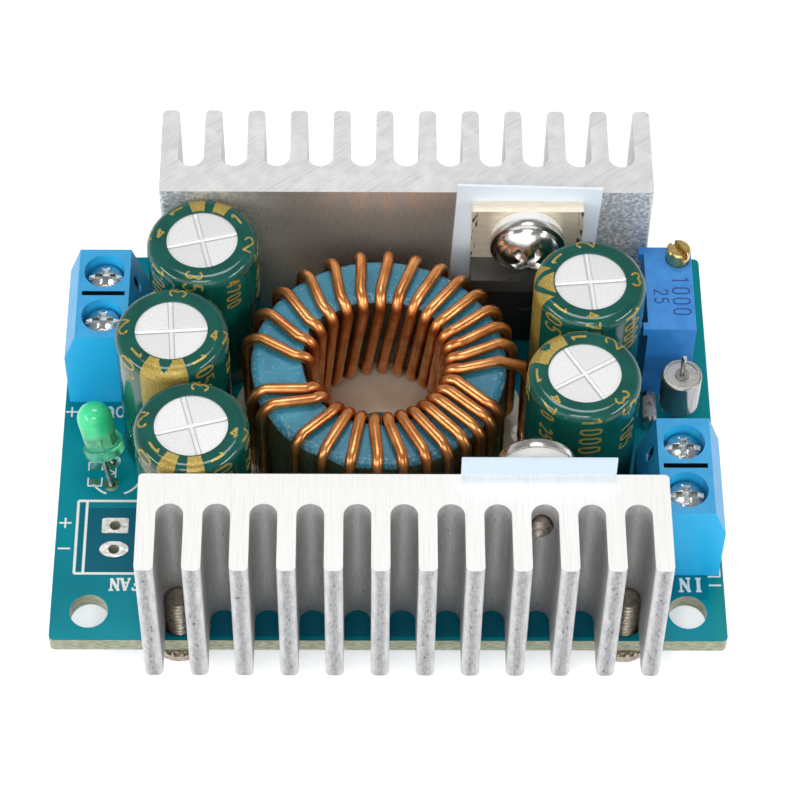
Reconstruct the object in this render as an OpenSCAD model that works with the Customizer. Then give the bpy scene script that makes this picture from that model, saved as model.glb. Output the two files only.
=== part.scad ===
// Boost converter module: a circuit board between two finned heatsinks, with a ring-core coil,
// five capacitors, two screw terminal blocks, a multi-turn trimmer and an indicator lamp.
// Millimetres, +Z up. The origin is on the underside of the board, midway between the corner holes.

/* [Board] */
// Thickness of the board
board_t = 1.6; // [1.0:0.1:2.4]
// Radius of the board's corners
board_corner_r = 0.5; // [0.2:0.1:1.5]
// Gap from the side edges of the board to the terminal blocks
edge_margin = 0.4; // [0.2:0.1:2]
// Diameter of the corner holes
mount_hole_d = 3.4; // [2.8:0.1:3.8]
// Distance of the corner holes from the side edges
mount_hole_x = 3.4; // [3:0.1:4]
// Distance of the corner holes from the front and rear edges
mount_hole_y = 3.0; // [2.6:0.1:3.6]
// Depth of board that the front heatsink stands on
front_seat = 6.2; // [5.8:0.1:7]
// Depth of board that the rear heatsink stands on
rear_seat = 5.8; // [5.6:0.1:7]
// Length of the leads below the board
lead_out = 1.2; // [0.8:0.1:1.6]
// Gap all round a lead in its hole in the board
lead_clearance = 0.1; // [0.05:0.05:0.2]
// Diameter of the two empty holes of the fan connector
fan_hole_d = 1.0; // [0.8:0.1:1.2]
// Distance of the fan connector from the left edge
fan_hole_x = 5.3; // [4.5:0.1:6]
// Distance of the fan connector's middle from the front edge
fan_hole_y = 10.8; // [9:0.1:12]
// Pitch of small leads, such as those of connectors, trimmers and transistors
lead_pitch = 2.54; // [2:0.02:2.8]

/* [Heatsinks] */
// Number of fins
fin_count = 12; // [8:1:12]
// Pitch of the fins
fin_pitch = 3.95; // [3.7:0.05:4.1]
// Thickness of a fin
fin_w = 1.6; // [1.4:0.05:1.8]
// Radius at the tips of the fins
fin_tip_r = 0.5; // [0.2:0.05:0.6]
// Thickness of the base between the slots and the flat face
base_t = 3.05; // [2.8:0.05:3.3]
// Radius at the corners of the flat face
base_corner_r = 0.4; // [0.2:0.05:0.8]
// Depth from the flat face to the fin tips
heatsink_d = 9.75; // [8:0.05:12]
// Height of the heatsinks
heatsink_h = 17; // [17:0.5:22]
// Offset of the front heatsink to the right of the board's middle
front_heatsink_shift = 1.2; // [0:0.1:1.8]
// Offset of the rear heatsink to the right of the board's middle
rear_heatsink_shift = 1.6; // [0:0.1:1.8]
// Diameter of the holes in the board for the heatsink screws
foot_hole_d = 3.0; // [2.6:0.1:3.1]
// Length of the heatsink screws above the board
foot_screw_rise = 4.0; // [3:0.1:8]
// Diameter of the washers under the heatsink screws
washer_d = 4.9; // [4.4:0.1:5.4]
// Thickness of the washers
washer_t = 0.5; // [0.3:0.05:0.8]
// Diameter of the heads of the heatsink screws
foot_head_d = 4.9; // [4.4:0.1:5.4]
// Height of the heads of the heatsink screws
foot_head_h = 1.8; // [1.4:0.1:2.4]
// Height of the straight rim of those heads
foot_rim_h = 0.6; // [0.4:0.1:1]
// Length of the tapered tip of the heatsink screws
foot_tip = 0.3; // [0.2:0.05:0.5]
// Span of the driver's cross in the heatsink screws
foot_cross_l = 2.7; // [2:0.1:3.4]
// Width of the driver's cross in the heatsink screws
foot_cross_w = 0.6; // [0.4:0.05:0.8]
// Depth of the driver's cross in the heatsink screws
foot_cross_depth = 0.9; // [0.5:0.1:1.1]

/* [Transistor and rectifier] */
// Width of the packages
device_w = 10.2; // [9.8:0.1:10.6]
// Thickness of the packages over tab and plastic
device_t = 4.4; // [4:0.1:4.8]
// Thickness of the metal tab
tab_t = 1.3; // [1.1:0.05:1.4]
// Height of the bare tab above the plastic
tab_h = 6.6; // [6.2:0.1:7]
// Height of the plastic
plastic_h = 9.1; // [8.6:0.1:9.3]
// Height of the sloping edges at the top and bottom of the plastic
plastic_slope_h = 1.2; // [0.6:0.1:1.6]
// Depth of those edges
plastic_slope = 0.35; // [0.2:0.05:0.5]
// Diameter of the round dimple in the plastic
dimple_d = 1.6; // [1:0.1:2]
// Depth of the dimple
dimple_depth = 0.15; // [0.1:0.05:0.3]
// Distance of the dimple below the plastic's top
dimple_drop = 3.2; // [2.5:0.1:5]
// Width of the steps beside the tab inside the plastic
tab_step = 0.6; // [0.4:0.05:0.8]
// Height of the plastic below the tab
tab_end_gap = 0.8; // [0.5:0.05:1]
// Distance of the tab hole from the tab's top edge
tab_hole_drop = 3.1; // [2.7:0.1:3.4]
// Diameter of the tab hole
tab_hole_d = 3.8; // [3.5:0.1:4]
// Distance of the legs from the back of the tab
leg_depth = 2.5; // [2.2:0.1:2.8]
// Width of a leg
leg_w = 0.8; // [0.6:0.05:0.9]
// Thickness of a leg
leg_t = 0.5; // [0.4:0.05:0.6]
// Height of the front package's plastic above the board
front_device_lift = 1.6; // [1.4:0.1:2]
// Height of the rear package's plastic above the board
rear_device_lift = 0.4; // [0.3:0.1:1]
// Thickness of the insulating pads
pad_t = 0.25; // [0.15:0.05:0.4]
// Width of the insulating pads
pad_w = 13.2; // [12:0.1:14]
// Height of the insulating pads
pad_h = 17.3; // [16:0.1:17.4]
// Height of an insulating pad above its hole
pad_top = 5.0; // [4.5:0.1:5.4]
// Turn of the rear pad about its hole, in degrees
rear_pad_turn = 2; // [0:0.5:2.5]
// Diameter of the holes in the pads
pad_hole_d = 3.2; // [2.8:0.1:3.6]
// Gap between a bush's flange and the plastic
bush_gap = 0.25; // [0.2:0.05:0.6]
// Thickness of the insulating bushes' flange
bush_t = 1.0; // [0.4:0.05:1.1]
// Gap between a bush's sleeve and the tab hole
bush_clearance = 0.1; // [0.05:0.05:0.2]
// Diameter of the device screws' shank
device_screw_d = 2.5; // [2.2:0.1:2.8]
// Depth of the device screws in the heatsinks
device_screw_depth = 2.4; // [2:0.1:2.7]
// Gap between a device screw's flange and the plastic
flange_gap = 0.1; // [0.05:0.05:0.3]
// Thickness of the device screws' flange
device_flange_t = 0.7; // [0.3:0.05:0.8]
// Width of the flange round a device screw's domed head
flange_rim = 0.55; // [0.4:0.05:1]
// Height of the device screws' domed head
device_dome_h = 1.7; // [1.3:0.1:2]
// Height of the straight rim of that head
device_rim_h = 0.4; // [0.2:0.05:0.6]
// Span of the driver's cross in the device screws
device_cross_l = 3.3; // [2.6:0.1:3.6]
// Width of the driver's cross in the device screws
device_cross_w = 0.9; // [0.5:0.05:0.9]
// Turn of the driver cross in the package screws, in degrees
device_cross_turn = 45; // [0:5:90]
// Depth of the driver's cross in the device screws
device_cross_depth = 1.1; // [0.7:0.1:1.2]
// Gap round the shank of a device screw
shank_clearance = 0.04; // [0.02:0.01:0.08]

/* [Coil] */
// Outer diameter of the core
core_od = 23.0; // [21:0.1:25]
// Inner diameter of the core
core_id = 13.4; // [13:0.1:14.5]
// Height of the core
core_h = 10.1; // [8:0.1:12]
// Radius of the core's edges
core_edge_r = 0.8; // [0.5:0.05:1.2]
// Diameter of the wire
wire_d = 1.05; // [0.7:0.05:1.05]
// Gap between the core and the wire, and between the wire and the board
wire_gap = 0.05; // [0.02:0.01:0.15]
// Turns round the rear half of the core
rear_turns = 15; // [10:1:15]
// Turns round the front half of the core
front_turns = 13; // [9:1:13]
// Slant of the wire in the bore of the core, in degrees
bore_slant = 12; // [0:1:12]
// Distance of the coil's first end from the winding's outer face
coil_lead_gap = 0.2; // [0.15:0.05:0.3]

/* [Capacitors] */
// Diameter over the sleeve
cap_d = 10; // [9:0.1:11]
// Height above the board
cap_h = 16.5; // [13:0.5:20]
// Thickness of the sleeve
sleeve_t = 0.15; // [0.1:0.05:0.25]
// Diameter of the bare disc on top
cap_disc_d = 6.4; // [5.5:0.1:7]
// Radius of the shoulder below the disc
cap_shoulder_r = 0.8; // [0.6:0.1:1.8]
// Height of the rolled bead above the can's rim
bead_z = 2.4; // [2:0.1:3]
// Depth of the rolled bead
bead_depth = 0.35; // [0.2:0.05:0.5]
// Radius of the rolled bead
bead_r = 0.6; // [0.5:0.05:0.8]
// Thickness of the can's wall round the bung
can_wall = 0.5; // [0.3:0.05:0.7]
// Height of the rubber bung below the can's rim
bung_step = 0.2; // [0.1:0.05:0.4]
// Depth of the rubber bung inside the can
bung_depth = 0.8; // [0.5:0.1:1.2]
// Width of the cross scored in the disc
vent_w = 0.25; // [0.15:0.05:0.4]
// Gap between the ends of the cross and the disc's edge
vent_margin = 0.2; // [0.1:0.05:0.6]
// Depth of the cross scored in the disc
vent_depth = 0.12; // [0.08:0.02:0.2]
// Diameter of a capacitor lead
cap_lead_d = 0.6; // [0.5:0.05:0.8]
// Pitch of the capacitor leads
cap_lead_pitch = 5; // [4:0.1:5.5]

/* [Spacing] */
// Gap between the left terminal block and the capacitor beside it
left_cap_gap = 0.46; // [0.3:0.02:1]
// Gap between neighbours in the left row of capacitors
cap_gap = 0.44; // [0.3:0.02:1]
// Step of the middle left capacitor to the left of the rear one
rear_stagger = 2.36; // [1.5:0.02:2.6]
// Step of the front left capacitor to the right of the middle one
front_stagger = 2.1; // [1:0.02:2.6]
// Gap between the front heatsink and the capacitor behind it
front_cap_gap = 0.4; // [0.2:0.05:1]
// Gap between the rear heatsink and the capacitor in front of it
rear_cap_gap = 0.2; // [0.15:0.05:1]
// Gap between the middle left capacitor and the coil
left_coil_gap = 0.7; // [0.5:0.05:2]
// Step of the coil to the rear of the middle left capacitor
coil_step = 0.7; // [0:0.05:1]
// Gap between the coil and the right row of capacitors
right_coil_gap = 0.34; // [0.3:0.01:2]
// Gap between neighbours in the right row of capacitors
right_cap_gap = 0.17; // [0.15:0.01:0.5]
// Step of the rear right capacitor to the right of the front one
right_stagger = 0.9; // [0:0.1:1.4]
// Gap between the rear package and the capacitor in front of it
device_cap_gap = 0.12; // [0.1:0.01:0.5]
// Gap between the front right capacitor and the right terminal block
right_terminal_gap = 0.26; // [0.2:0.02:1]
// Step of the packages' middle to the right of the coil
device_step = 0.95; // [0.85:0.05:2]
// Gap between the rear heatsink and the left terminal block
left_terminal_gap = 1.2; // [0.8:0.1:2]
// Gap between the front heatsink and the right terminal block
front_terminal_gap = 0.7; // [0.5:0.1:1.2]
// Gap between the rear right capacitor and the trimmer
trimmer_gap = 0.2; // [0.15:0.05:0.6]
// Gap between the rear heatsink and the trimmer
trimmer_rear_gap = 0.75; // [0.5:0.05:1.2]

/* [Terminal blocks] */
// Pitch of the poles
pole_pitch = 5.08; // [5:0.02:5.4]
// Depth of a block, from the wire side to the coil side
terminal_depth = 7.3; // [7:0.1:8]
// Height of a block
terminal_h = 10; // [10:0.1:11]
// Height where the wire side starts to slope in
outer_slope_z = 6.8; // [6:0.1:8]
// Distance that the wire side slopes in
outer_slope = 1.15; // [0.6:0.05:1.3]
// Height where the coil side starts to slope in
inner_slope_z = 5.2; // [4.8:0.1:6]
// Distance that the coil side slopes in
inner_slope = 1.45; // [0.8:0.05:1.6]
// Distance of the screws from the wire side
screw_inset = 3.5; // [3.3:0.05:3.7]
// Diameter of the screw wells
well_d = 3.7; // [3.6:0.1:4]
// Diameter of the screw heads
terminal_head_d = 3.1; // [2.8:0.1:3.1]
// Height of the screw heads
terminal_head_h = 1.4; // [1.2:0.1:1.5]
// Height of the straight rim of the screw heads
terminal_rim_h = 1.05; // [0.8:0.05:1.15]
// Span of the driver's cross in the screw heads
terminal_cross_l = 1.9; // [1.4:0.1:2.2]
// Width of the driver's cross in the screw heads
terminal_cross_w = 0.6; // [0.4:0.05:0.7]
// Depth of the driver's cross in the screw heads
terminal_cross_depth = 0.8; // [0.5:0.1:0.9]
// Width of the driver's slot across the screw heads
terminal_slot_w = 0.5; // [0.4:0.05:0.6]
// Depth of the driver's slot across the screw heads
terminal_slot_depth = 0.4; // [0.3:0.05:0.6]
// Depth of the screw heads below the top face
head_recess = 0.7; // [0.5:0.1:0.9]
// Diameter of the screw shanks
terminal_shank_d = 2.2; // [1.8:0.1:2.4]
// Gap round the shanks, in the ledge and in the clamp
thread_clearance = 0.05; // [0.03:0.01:0.08]
// Thickness of the ledge that the head turns on
ledge_t = 0.5; // [0.4:0.05:0.6]
// Gap between the clamp and its chamber, and between the head and its ledge
clamp_clearance = 0.3; // [0.2:0.05:0.35]
// Width of the clamp along the block
clamp_w = 3.3; // [3:0.1:3.4]
// Depth of the clamp across the block
clamp_d = 3.4; // [3:0.1:3.5]
// Thickness of the clamp's sides
clamp_side_t = 0.5; // [0.4:0.05:0.6]
// Thickness of the clamp's floor
clamp_floor_t = 0.5; // [0.4:0.05:0.6]
// Thickness of the clamp's tapped top
clamp_top_t = 0.7; // [0.6:0.05:0.8]
// Floor of the block below the clamp
block_floor_t = 0.6; // [0.5:0.05:0.8]
// Opening between the clamp's floor and the contact bar with the clamp down
wire_room = 2.1; // [1.8:0.1:2.2]
// Thickness of the contact bar and its leg
contact_t = 0.6; // [0.5:0.05:0.7]
// Width of the contact bar and its leg
contact_w = 1.2; // [1:0.1:1.4]
// Gap between the contact's leg and its slot in the block
contact_clearance = 0.05; // [0.03:0.01:0.1]
// Width of the wire entries
entry_w = 3.2; // [2.8:0.1:3.4]
// Height of the wire entries
entry_h = 3.4; // [2.8:0.1:3.6]
// Width of the slots in the coil side
side_slot_w = 1.1; // [0.8:0.1:1.4]
// Length of the slots in the coil side
side_slot_l = 1.9; // [1.5:0.1:2.2]
// Height of the slots above the middle of the coil side's slope
side_slot_rise = 0.6; // [0:0.1:0.8]
// Depth of the slots in the coil side
side_slot_depth = 1.0; // [0.4:0.1:1]
// Width of the slot between the poles
pole_slot_w = 0.5; // [0.2:0.05:0.5]
// Length of the slot between the poles
pole_slot_l = 3.9; // [3:0.1:4.2]
// Depth of the slot between the poles
pole_slot_depth = 1.2; // [0.2:0.1:1.5]

/* [Trimmer] */
// Width over the end ribs
trimmer_w = 4.83; // [4.6:0.01:5]
// Length
trimmer_l = 9.53; // [9:0.01:10]
// Height
trimmer_h = 10.03; // [9.5:0.01:10.5]
// Projection of the end ribs
rib_d = 0.45; // [0.3:0.05:0.6]
// Length of an end rib
rib_l = 0.8; // [0.8:0.1:1.6]
// Height of an end rib
rib_h = 0.9; // [0.6:0.1:2]
// Height of the feet under the case
trimmer_foot_h = 0.35; // [0.2:0.05:0.5]
// Length of the feet under the case
trimmer_foot_l = 1.0; // [0.6:0.1:1.4]
// Diameter of the adjusting screw
trimmer_screw_d = 2.19; // [2:0.01:2.3]
// Height of the adjusting screw above the case
trimmer_screw_rise = 1.5; // [1.2:0.1:2]
// Depth of the adjusting screw inside the case
trimmer_screw_depth = 5; // [4:0.1:6]
// Gap below the adjusting screw
trimmer_screw_end_gap = 0.3; // [0.2:0.05:0.5]
// Gap round the adjusting screw
trimmer_screw_clearance = 0.04; // [0.02:0.01:0.08]
// Distance of the adjusting screw from the two nearest faces
trimmer_screw_inset = 1.27; // [1.2:0.01:1.4]
// Width of the adjusting screw's slot
trimmer_slot_w = 0.56; // [0.4:0.02:0.7]
// Depth of the adjusting screw's slot
trimmer_slot_depth = 0.7; // [0.5:0.05:0.9]
// Turn of the adjusting screw's slot, in degrees
trimmer_slot_turn = -60; // [-90:5:90]
// Bevel at the adjusting screw's top edge
trimmer_screw_edge = 0.15; // [0.1:0.05:0.25]
// Diameter of the trimmer's pins
trimmer_pin_d = 0.5; // [0.4:0.05:0.6]

/* [Small parts] */
// Diameter of the lamp's lens
lamp_d = 3.2; // [2.8:0.1:3.2]
// Diameter of the lamp's flange
lamp_flange_d = 3.8; // [3.4:0.1:4]
// Thickness of the lamp's flange
lamp_flange_t = 1.0; // [0.8:0.1:1.2]
// Depth of the flat on the lamp's flange
lamp_flat = 0.25; // [0.15:0.05:0.35]
// Height of the lamp over lens and flange
lamp_h = 5.2; // [4.8:0.1:5.6]
// Length of the lamp's slanting leads above the board
lamp_lead_l = 2.6; // [2:0.1:3]
// Diameter of the lamp's leads
lamp_lead_d = 0.5; // [0.4:0.05:0.6]
// Growth of the lamp's leads at their bend
lamp_bend_swell = 0.06; // [0.04:0.02:0.1]
// Distance of the lamp behind the front of the middle left capacitor
lamp_step = 1.0; // [0.6:0.05:1.1]
// Distance of the lamp from the left edge
lamp_x = 4.72; // [4.6:0.02:5.4]
// Lean of the lamp to the rear, in degrees
lamp_lean_back = 20; // [8:1:22]
// Lean of the lamp to the left, in degrees
lamp_lean_left = 13; // [0:1:18]
// Diameter of the standing can
can_d = 3.7; // [3.4:0.1:3.9]
// Height of the standing can
can_h = 4.3; // [3.8:0.1:4.8]
// Height of the standing can above the board
can_lift = 2.9; // [2.2:0.1:3.4]
// Radius of the standing can's edges
can_edge_r = 0.25; // [0.2:0.05:0.5]
// Diameter of the seal round the standing can's top lead
can_seal_d = 1.3; // [1:0.1:1.6]
// Thickness of the seal round the standing can's top lead
can_seal_t = 0.2; // [0.1:0.05:0.4]
// Diameter of the standing can's leads
can_lead_d = 0.45; // [0.4:0.05:0.6]
// Height of the top lead above the rim
can_lead_rise = 2.7; // [1:0.1:3]
// Gap between the trimmer and the standing can
can_trimmer_gap = 1.1; // [0.3:0.05:1.4]
// Width of the flat rim round the standing can's lid
can_rim_w = 0.15; // [0.1:0.05:0.3]
// Depth of the lid below the rim
can_lid_depth = 0.12; // [0.05:0.01:0.18]
// Step of the standing can to the right of the trimmer's middle
can_step = 1.15; // [0.5:0.05:1.3]
// Diameter of the small glass diode
glass_d = 1.45; // [1.3:0.05:1.6]
// Length of the small glass diode over its caps
glass_l = 3.4; // [3:0.1:3.6]
// Reach of the small glass diode under the standing can
glass_under = 0.1; // [0:0.05:0.4]
// Step of the small glass diode to the rear of the standing can
glass_step = 0.6; // [0:0.1:1]
// Length of the small glass diode's caps
glass_cap_l = 0.5; // [0.3:0.05:0.7]
// Step from the small glass diode's caps down to its glass
glass_cap_step = 0.05; // [0:0.05:0.15]
// Length of the controller chip
chip_l = 4.9; // [4.5:0.1:5.2]
// Width of the controller chip's plastic
chip_w = 3.9; // [3.6:0.1:4.2]
// Height of the controller chip's plastic
chip_h = 1.3; // [1.1:0.05:1.4]
// Height of the gap between the controller chip and the board
chip_gap = 0.15; // [0.1:0.05:0.25]
// Pitch of the controller chip's legs
chip_leg_pitch = 1.27; // [1.2:0.01:1.3]
// Reach of the controller chip's legs from its plastic
chip_leg_reach = 1.05; // [0.8:0.05:1.2]
// Distance from the controller chip's plastic to the bend of its legs
chip_leg_bend = 0.4; // [0.3:0.05:0.5]
// Diameter of the dot in the controller chip's corner
chip_dot_d = 0.7; // [0.4:0.1:1]
// Distance of the dot from the controller chip's sides
chip_dot_inset = 0.8; // [0.7:0.1:1.2]
// Depth of the dot
chip_dot_depth = 0.1; // [0.05:0.05:0.2]
// Thickness of the controller chip's legs
chip_leg_t = 0.2; // [0.15:0.05:0.25]
// Width of the controller chip's legs
chip_leg_w = 0.42; // [0.3:0.02:0.5]
// Length of a chip resistor or chip capacitor
smd_l = 2.0; // [1.6:0.1:2.2]
// Width of a chip resistor or chip capacitor
smd_w = 1.25; // [0.8:0.05:1.3]
// Height of a chip resistor or chip capacitor
smd_h = 0.55; // [0.4:0.05:0.8]
// Length of the tinned ends of a chip resistor or chip capacitor
smd_end_l = 0.4; // [0.3:0.05:0.5]
// Pitch of the chip resistors and chip capacitors in a row
smd_pitch = 3.2; // [2.2:0.1:3.6]
// Distance from the controller chip's legs to the middle of a row
smd_row_gap = 1.8; // [1.4:0.1:2.4]
// Radius of a solder joint at the board
solder_r = 0.5; // [0.3:0.05:0.55]
// Height of a solder joint
solder_h = 0.8; // [0.5:0.1:1]
// Radius of a solder joint's hollow flank
solder_hollow_r = 0.5; // [0.3:0.05:0.55]
// Gap between a solder joint and its lead
solder_clearance = 0.02; // [0.01:0.01:0.04]

/* [Hidden] */
$fn = 48;
cut = 0.2;

// Heatsink section
slot_w = fin_pitch - fin_w;
heatsink_l = (fin_count - 1) * fin_pitch + fin_w;
foot_slot_x = (fin_count - 2) * fin_pitch / 2;

// Flanges in the room between the tab hole and the plastic
tab_room = tab_h - tab_hole_drop;
bush_d = 2 * (tab_room - bush_gap);
device_flange_d = 2 * (tab_room - flange_gap);
device_dome_d = device_flange_d - 2 * flange_rim;

// Coil section: the wire's centre line follows the core's edges
wire_r = wire_d / 2;
core_z = board_t + 2 * wire_gap + wire_d;
core_top = core_z + core_h;
lay_inner = core_id / 2 - wire_gap - wire_r;
lay_outer = core_od / 2 + wire_gap + wire_r;
lay_bottom = core_z - wire_gap - wire_r;
lay_top = core_top + wire_gap + wire_r;
lay_bend = core_edge_r + wire_gap + wire_r;
winding_r = lay_outer + wire_r;

// Capacitor section
cap_r = cap_d / 2;
can_r = cap_r - sleeve_t - solder_clearance;
bung_r = can_r - can_wall;

// Places across the board, from its left edge
rear_left_x = edge_margin + terminal_depth + left_cap_gap + cap_r;
mid_left_x = rear_left_x - rear_stagger;
front_left_x = mid_left_x + front_stagger;
coil_from_left = mid_left_x + cap_r + left_coil_gap + winding_r;
front_right_x = coil_from_left + winding_r + right_coil_gap + cap_r;
rear_right_x = front_right_x + right_stagger;
board_w = front_right_x + cap_r + right_terminal_gap + terminal_depth + edge_margin;
trimmer_from_left = rear_right_x + cap_r + trimmer_gap + trimmer_w / 2;
can_from_left = trimmer_from_left + can_step;

// Places along the board, from its front edge
function row_step(gap, stagger) = sqrt(pow(cap_d + gap, 2) - pow(stagger, 2));
front_left_y = front_seat + front_cap_gap + cap_r;
mid_left_y = front_left_y + row_step(cap_gap, front_stagger);
rear_left_y = mid_left_y + row_step(cap_gap, rear_stagger);
rear_face = rear_left_y + cap_r + rear_cap_gap;
board_d = rear_face + rear_seat;
rear_right_y = rear_face - pad_t - device_t - device_cap_gap - cap_r;
front_right_y = rear_right_y - row_step(right_cap_gap, right_stagger);
left_terminal_y = rear_face - left_terminal_gap - pole_pitch;
right_terminal_y = front_seat + front_terminal_gap + pole_pitch;
trimmer_y = rear_face - trimmer_rear_gap - trimmer_l / 2;
can_y = trimmer_y - trimmer_l / 2 - can_trimmer_gap - can_d / 2;

// The same places in the part's frame
function at(x, y, z = board_t) = [x - board_w / 2, y - board_d / 2, z];
function at_right(x, y, z = board_t) = [board_w / 2 - x, y - board_d / 2, z];
CAPS = [
    at(rear_left_x, rear_left_y),
    at(mid_left_x, mid_left_y),
    at(front_left_x, front_left_y),
    at(rear_right_x, rear_right_y),
    at(front_right_x, front_right_y)
];
// Turn of the cross on each capacitor
VENT_TURNS = [10, 2, -14, 4, 42];
coil_at = at(coil_from_left, mid_left_y + coil_step, 0);
front_heatsink_at = [front_heatsink_shift, front_seat - board_d / 2, board_t];
rear_heatsink_at = [rear_heatsink_shift, rear_face - board_d / 2, board_t];
device_x = coil_at[0] + winding_r + device_step;
function tab_hole_z(lift) = lift + plastic_h + tab_h - tab_hole_drop;
left_terminal_at = at(edge_margin, left_terminal_y);
right_terminal_at = at_right(edge_margin, right_terminal_y);
trimmer_at = at(trimmer_from_left, trimmer_y);
can_at = at(can_from_left, can_y);
lamp_at = at(lamp_x, mid_left_y - cap_r + lamp_step);
glass_at = at(can_from_left - (can_d + glass_d) / 2 + glass_under, can_y + glass_step);

// Terminal block section, from the wire side and up from the board
clamp_out = screw_inset - clamp_d / 2;
clamp_in = screw_inset + clamp_d / 2;
chamber_w = clamp_w + 2 * clamp_clearance;
head_top_z = terminal_h - head_recess;
ledge_z = head_top_z - terminal_head_h - clamp_clearance - ledge_t;
clamp_z = block_floor_t + clamp_clearance;
bar_z = clamp_z + clamp_floor_t + wire_room;
shank_end_z = bar_z + contact_t + clamp_clearance;
clamp_top_z = shank_end_z + clamp_top_t;
leg_inset = clamp_in + clamp_clearance + contact_t / 2;

// Every lead that goes through the board: x, y and the radius of its hole's lead
leg_r = sqrt(pow(leg_w, 2) + pow(leg_t, 2)) / 2;
contact_r = sqrt(pow(contact_w, 2) + pow(contact_t, 2)) / 2;
front_leg_y = front_heatsink_at[1] + pad_t + leg_depth;
rear_leg_y = rear_heatsink_at[1] - pad_t - leg_depth;
// Angles of the coil's two ends about its middle, and their distances from it
coil_start_turn = -1;
coil_end_turn = -19;
coil_start_r = winding_r + coil_lead_gap + wire_r;
coil_end_r = winding_r;
function coil_point(turn, r, z) = [coil_at[0] + r * cos(turn), coil_at[1] + r * sin(turn), z];
lamp_axis = [
    -cos(lamp_lean_back) * sin(lamp_lean_left),
    sin(lamp_lean_back),
    cos(lamp_lean_back) * cos(lamp_lean_left)
];
lamp_leads = [for (side = [-1, 1]) [lamp_at[0], lamp_at[1] + side * lead_pitch / 2]];
trimmer_pins_at = [for (step = [-1:1]) [trimmer_at[0], trimmer_at[1] + step * lead_pitch]];
left_contacts = [for (side = [-1, 1]) left_terminal_at + [leg_inset, side * pole_pitch / 2, 0]];
right_contacts = [for (side = [-1, 1]) right_terminal_at + [-leg_inset, side * pole_pitch / 2, 0]];
LEADS = concat(
    [for (c = CAPS, side = [-1, 1]) [c[0] + side * cap_lead_pitch / 2, c[1], cap_lead_d / 2]],
    [for (step = [-1:1], y = [front_leg_y, rear_leg_y]) [device_x + step * lead_pitch, y, leg_r]],
    [for (p = concat(left_contacts, right_contacts)) [p[0], p[1], contact_r]],
    [for (p = trimmer_pins_at) [p[0], p[1], trimmer_pin_d / 2]],
    [for (p = lamp_leads) [p[0], p[1], lamp_lead_d / 2]],
    [[can_at[0], can_at[1], can_lead_d / 2]],
    [for (end = [[coil_start_turn, coil_start_r], [coil_end_turn, coil_end_r]])
        let (p = coil_point(end[0], end[1], 0)) [p[0], p[1], wire_r]]
);
FEET = concat(
    [for (side = [-1, 1])
        [front_heatsink_at[0] + side * foot_slot_x, front_heatsink_at[1] - base_t - slot_w / 2]],
    [for (side = [-1, 1])
        [rear_heatsink_at[0] + side * foot_slot_x, rear_heatsink_at[1] + base_t + slot_w / 2]]
);

// Two crossed bars that sink a driver's cross into a head
module driver_cross(span, width, depth) {
    for (turn = [0, 90])
        rotate(turn) translate([-span / 2, -width / 2, -depth]) cube([span, width, depth + cut]);
}

// Flat-bottomed dome, turned from its section
module dome(d, h, rim) {
    sphere_r = (pow(d / 2, 2) + pow(h - rim, 2)) / (2 * (h - rim));
    cylinder(d = d, h = rim);
    translate([0, 0, rim]) rotate_extrude() intersection() {
        translate([0, h - rim - sphere_r]) circle(sphere_r, $fn = 96);
        square([d / 2, h - rim]);
    }
}

module circuit_board() {
    straight_w = board_w - 2 * board_corner_r;
    straight_d = board_d - 2 * board_corner_r;
    color([0.04, 0.45, 0.52]) difference() {
        linear_extrude(board_t) union() {
            square([straight_w, board_d], center = true);
            square([board_w, straight_d], center = true);
            for (x = [-1, 1], y = [-1, 1])
                translate([x * straight_w / 2, y * straight_d / 2]) circle(board_corner_r);
        }
        for (x = [-1, 1], y = [-1, 1])
            translate([x * (board_w / 2 - mount_hole_x), y * (board_d / 2 - mount_hole_y), -cut])
                cylinder(d = mount_hole_d, h = board_t + 2 * cut);
        for (p = FEET)
            translate([p[0], p[1], -cut]) cylinder(d = foot_hole_d, h = board_t + 2 * cut);
        for (p = LEADS)
            translate([p[0], p[1], -cut]) cylinder(r = p[2] + lead_clearance, h = board_t + 2 * cut);
        for (side = [-1, 1])
            translate(at(fan_hole_x, fan_hole_y + side * lead_pitch / 2, -cut))
                cylinder(d = fan_hole_d, h = board_t + 2 * cut);
    }
}

// Extruded section: flat face on y = 0, fins towards +y, round slot roots and fin tips
module heatsink_section() {
    root_y = base_t + slot_w / 2;
    fin_l = heatsink_d - base_corner_r;
    difference() {
        union() {
            translate([-heatsink_l / 2, base_corner_r])
                square([heatsink_l, root_y - base_corner_r]);
            translate([-heatsink_l / 2 + base_corner_r, 0])
                square([heatsink_l - 2 * base_corner_r, base_corner_r]);
            for (side = [-1, 1])
                translate([side * (heatsink_l / 2 - base_corner_r), base_corner_r])
                    circle(base_corner_r);
        }
        for (i = [0:fin_count - 2])
            translate([(i - (fin_count - 2) / 2) * fin_pitch, root_y]) circle(d = slot_w);
    }
    for (i = [0:fin_count - 1])
        translate([(i - (fin_count - 1) / 2) * fin_pitch, 0]) {
            translate([-fin_w / 2, root_y]) square([fin_w, heatsink_d - fin_tip_r - root_y]);
            translate([-fin_w / 2 + fin_tip_r, root_y])
                square([fin_w - 2 * fin_tip_r, heatsink_d - root_y]);
            for (side = [-1, 1])
                translate([side * (fin_w / 2 - fin_tip_r), heatsink_d - fin_tip_r])
                    circle(fin_tip_r);
        }
}

module heatsink(hole_x, hole_z) {
    color([0.8, 0.8, 0.79]) difference() {
        linear_extrude(heatsink_h) heatsink_section();
        translate([hole_x, -cut, hole_z]) rotate([-90, 0, 0])
            cylinder(d = device_screw_d + 2 * shank_clearance, h = base_t + slot_w / 2 + cut);
    }
}

module front_heatsink() {
    translate(front_heatsink_at) rotate(180)
        heatsink(front_heatsink_at[0] - device_x, tab_hole_z(front_device_lift));
}

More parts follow.
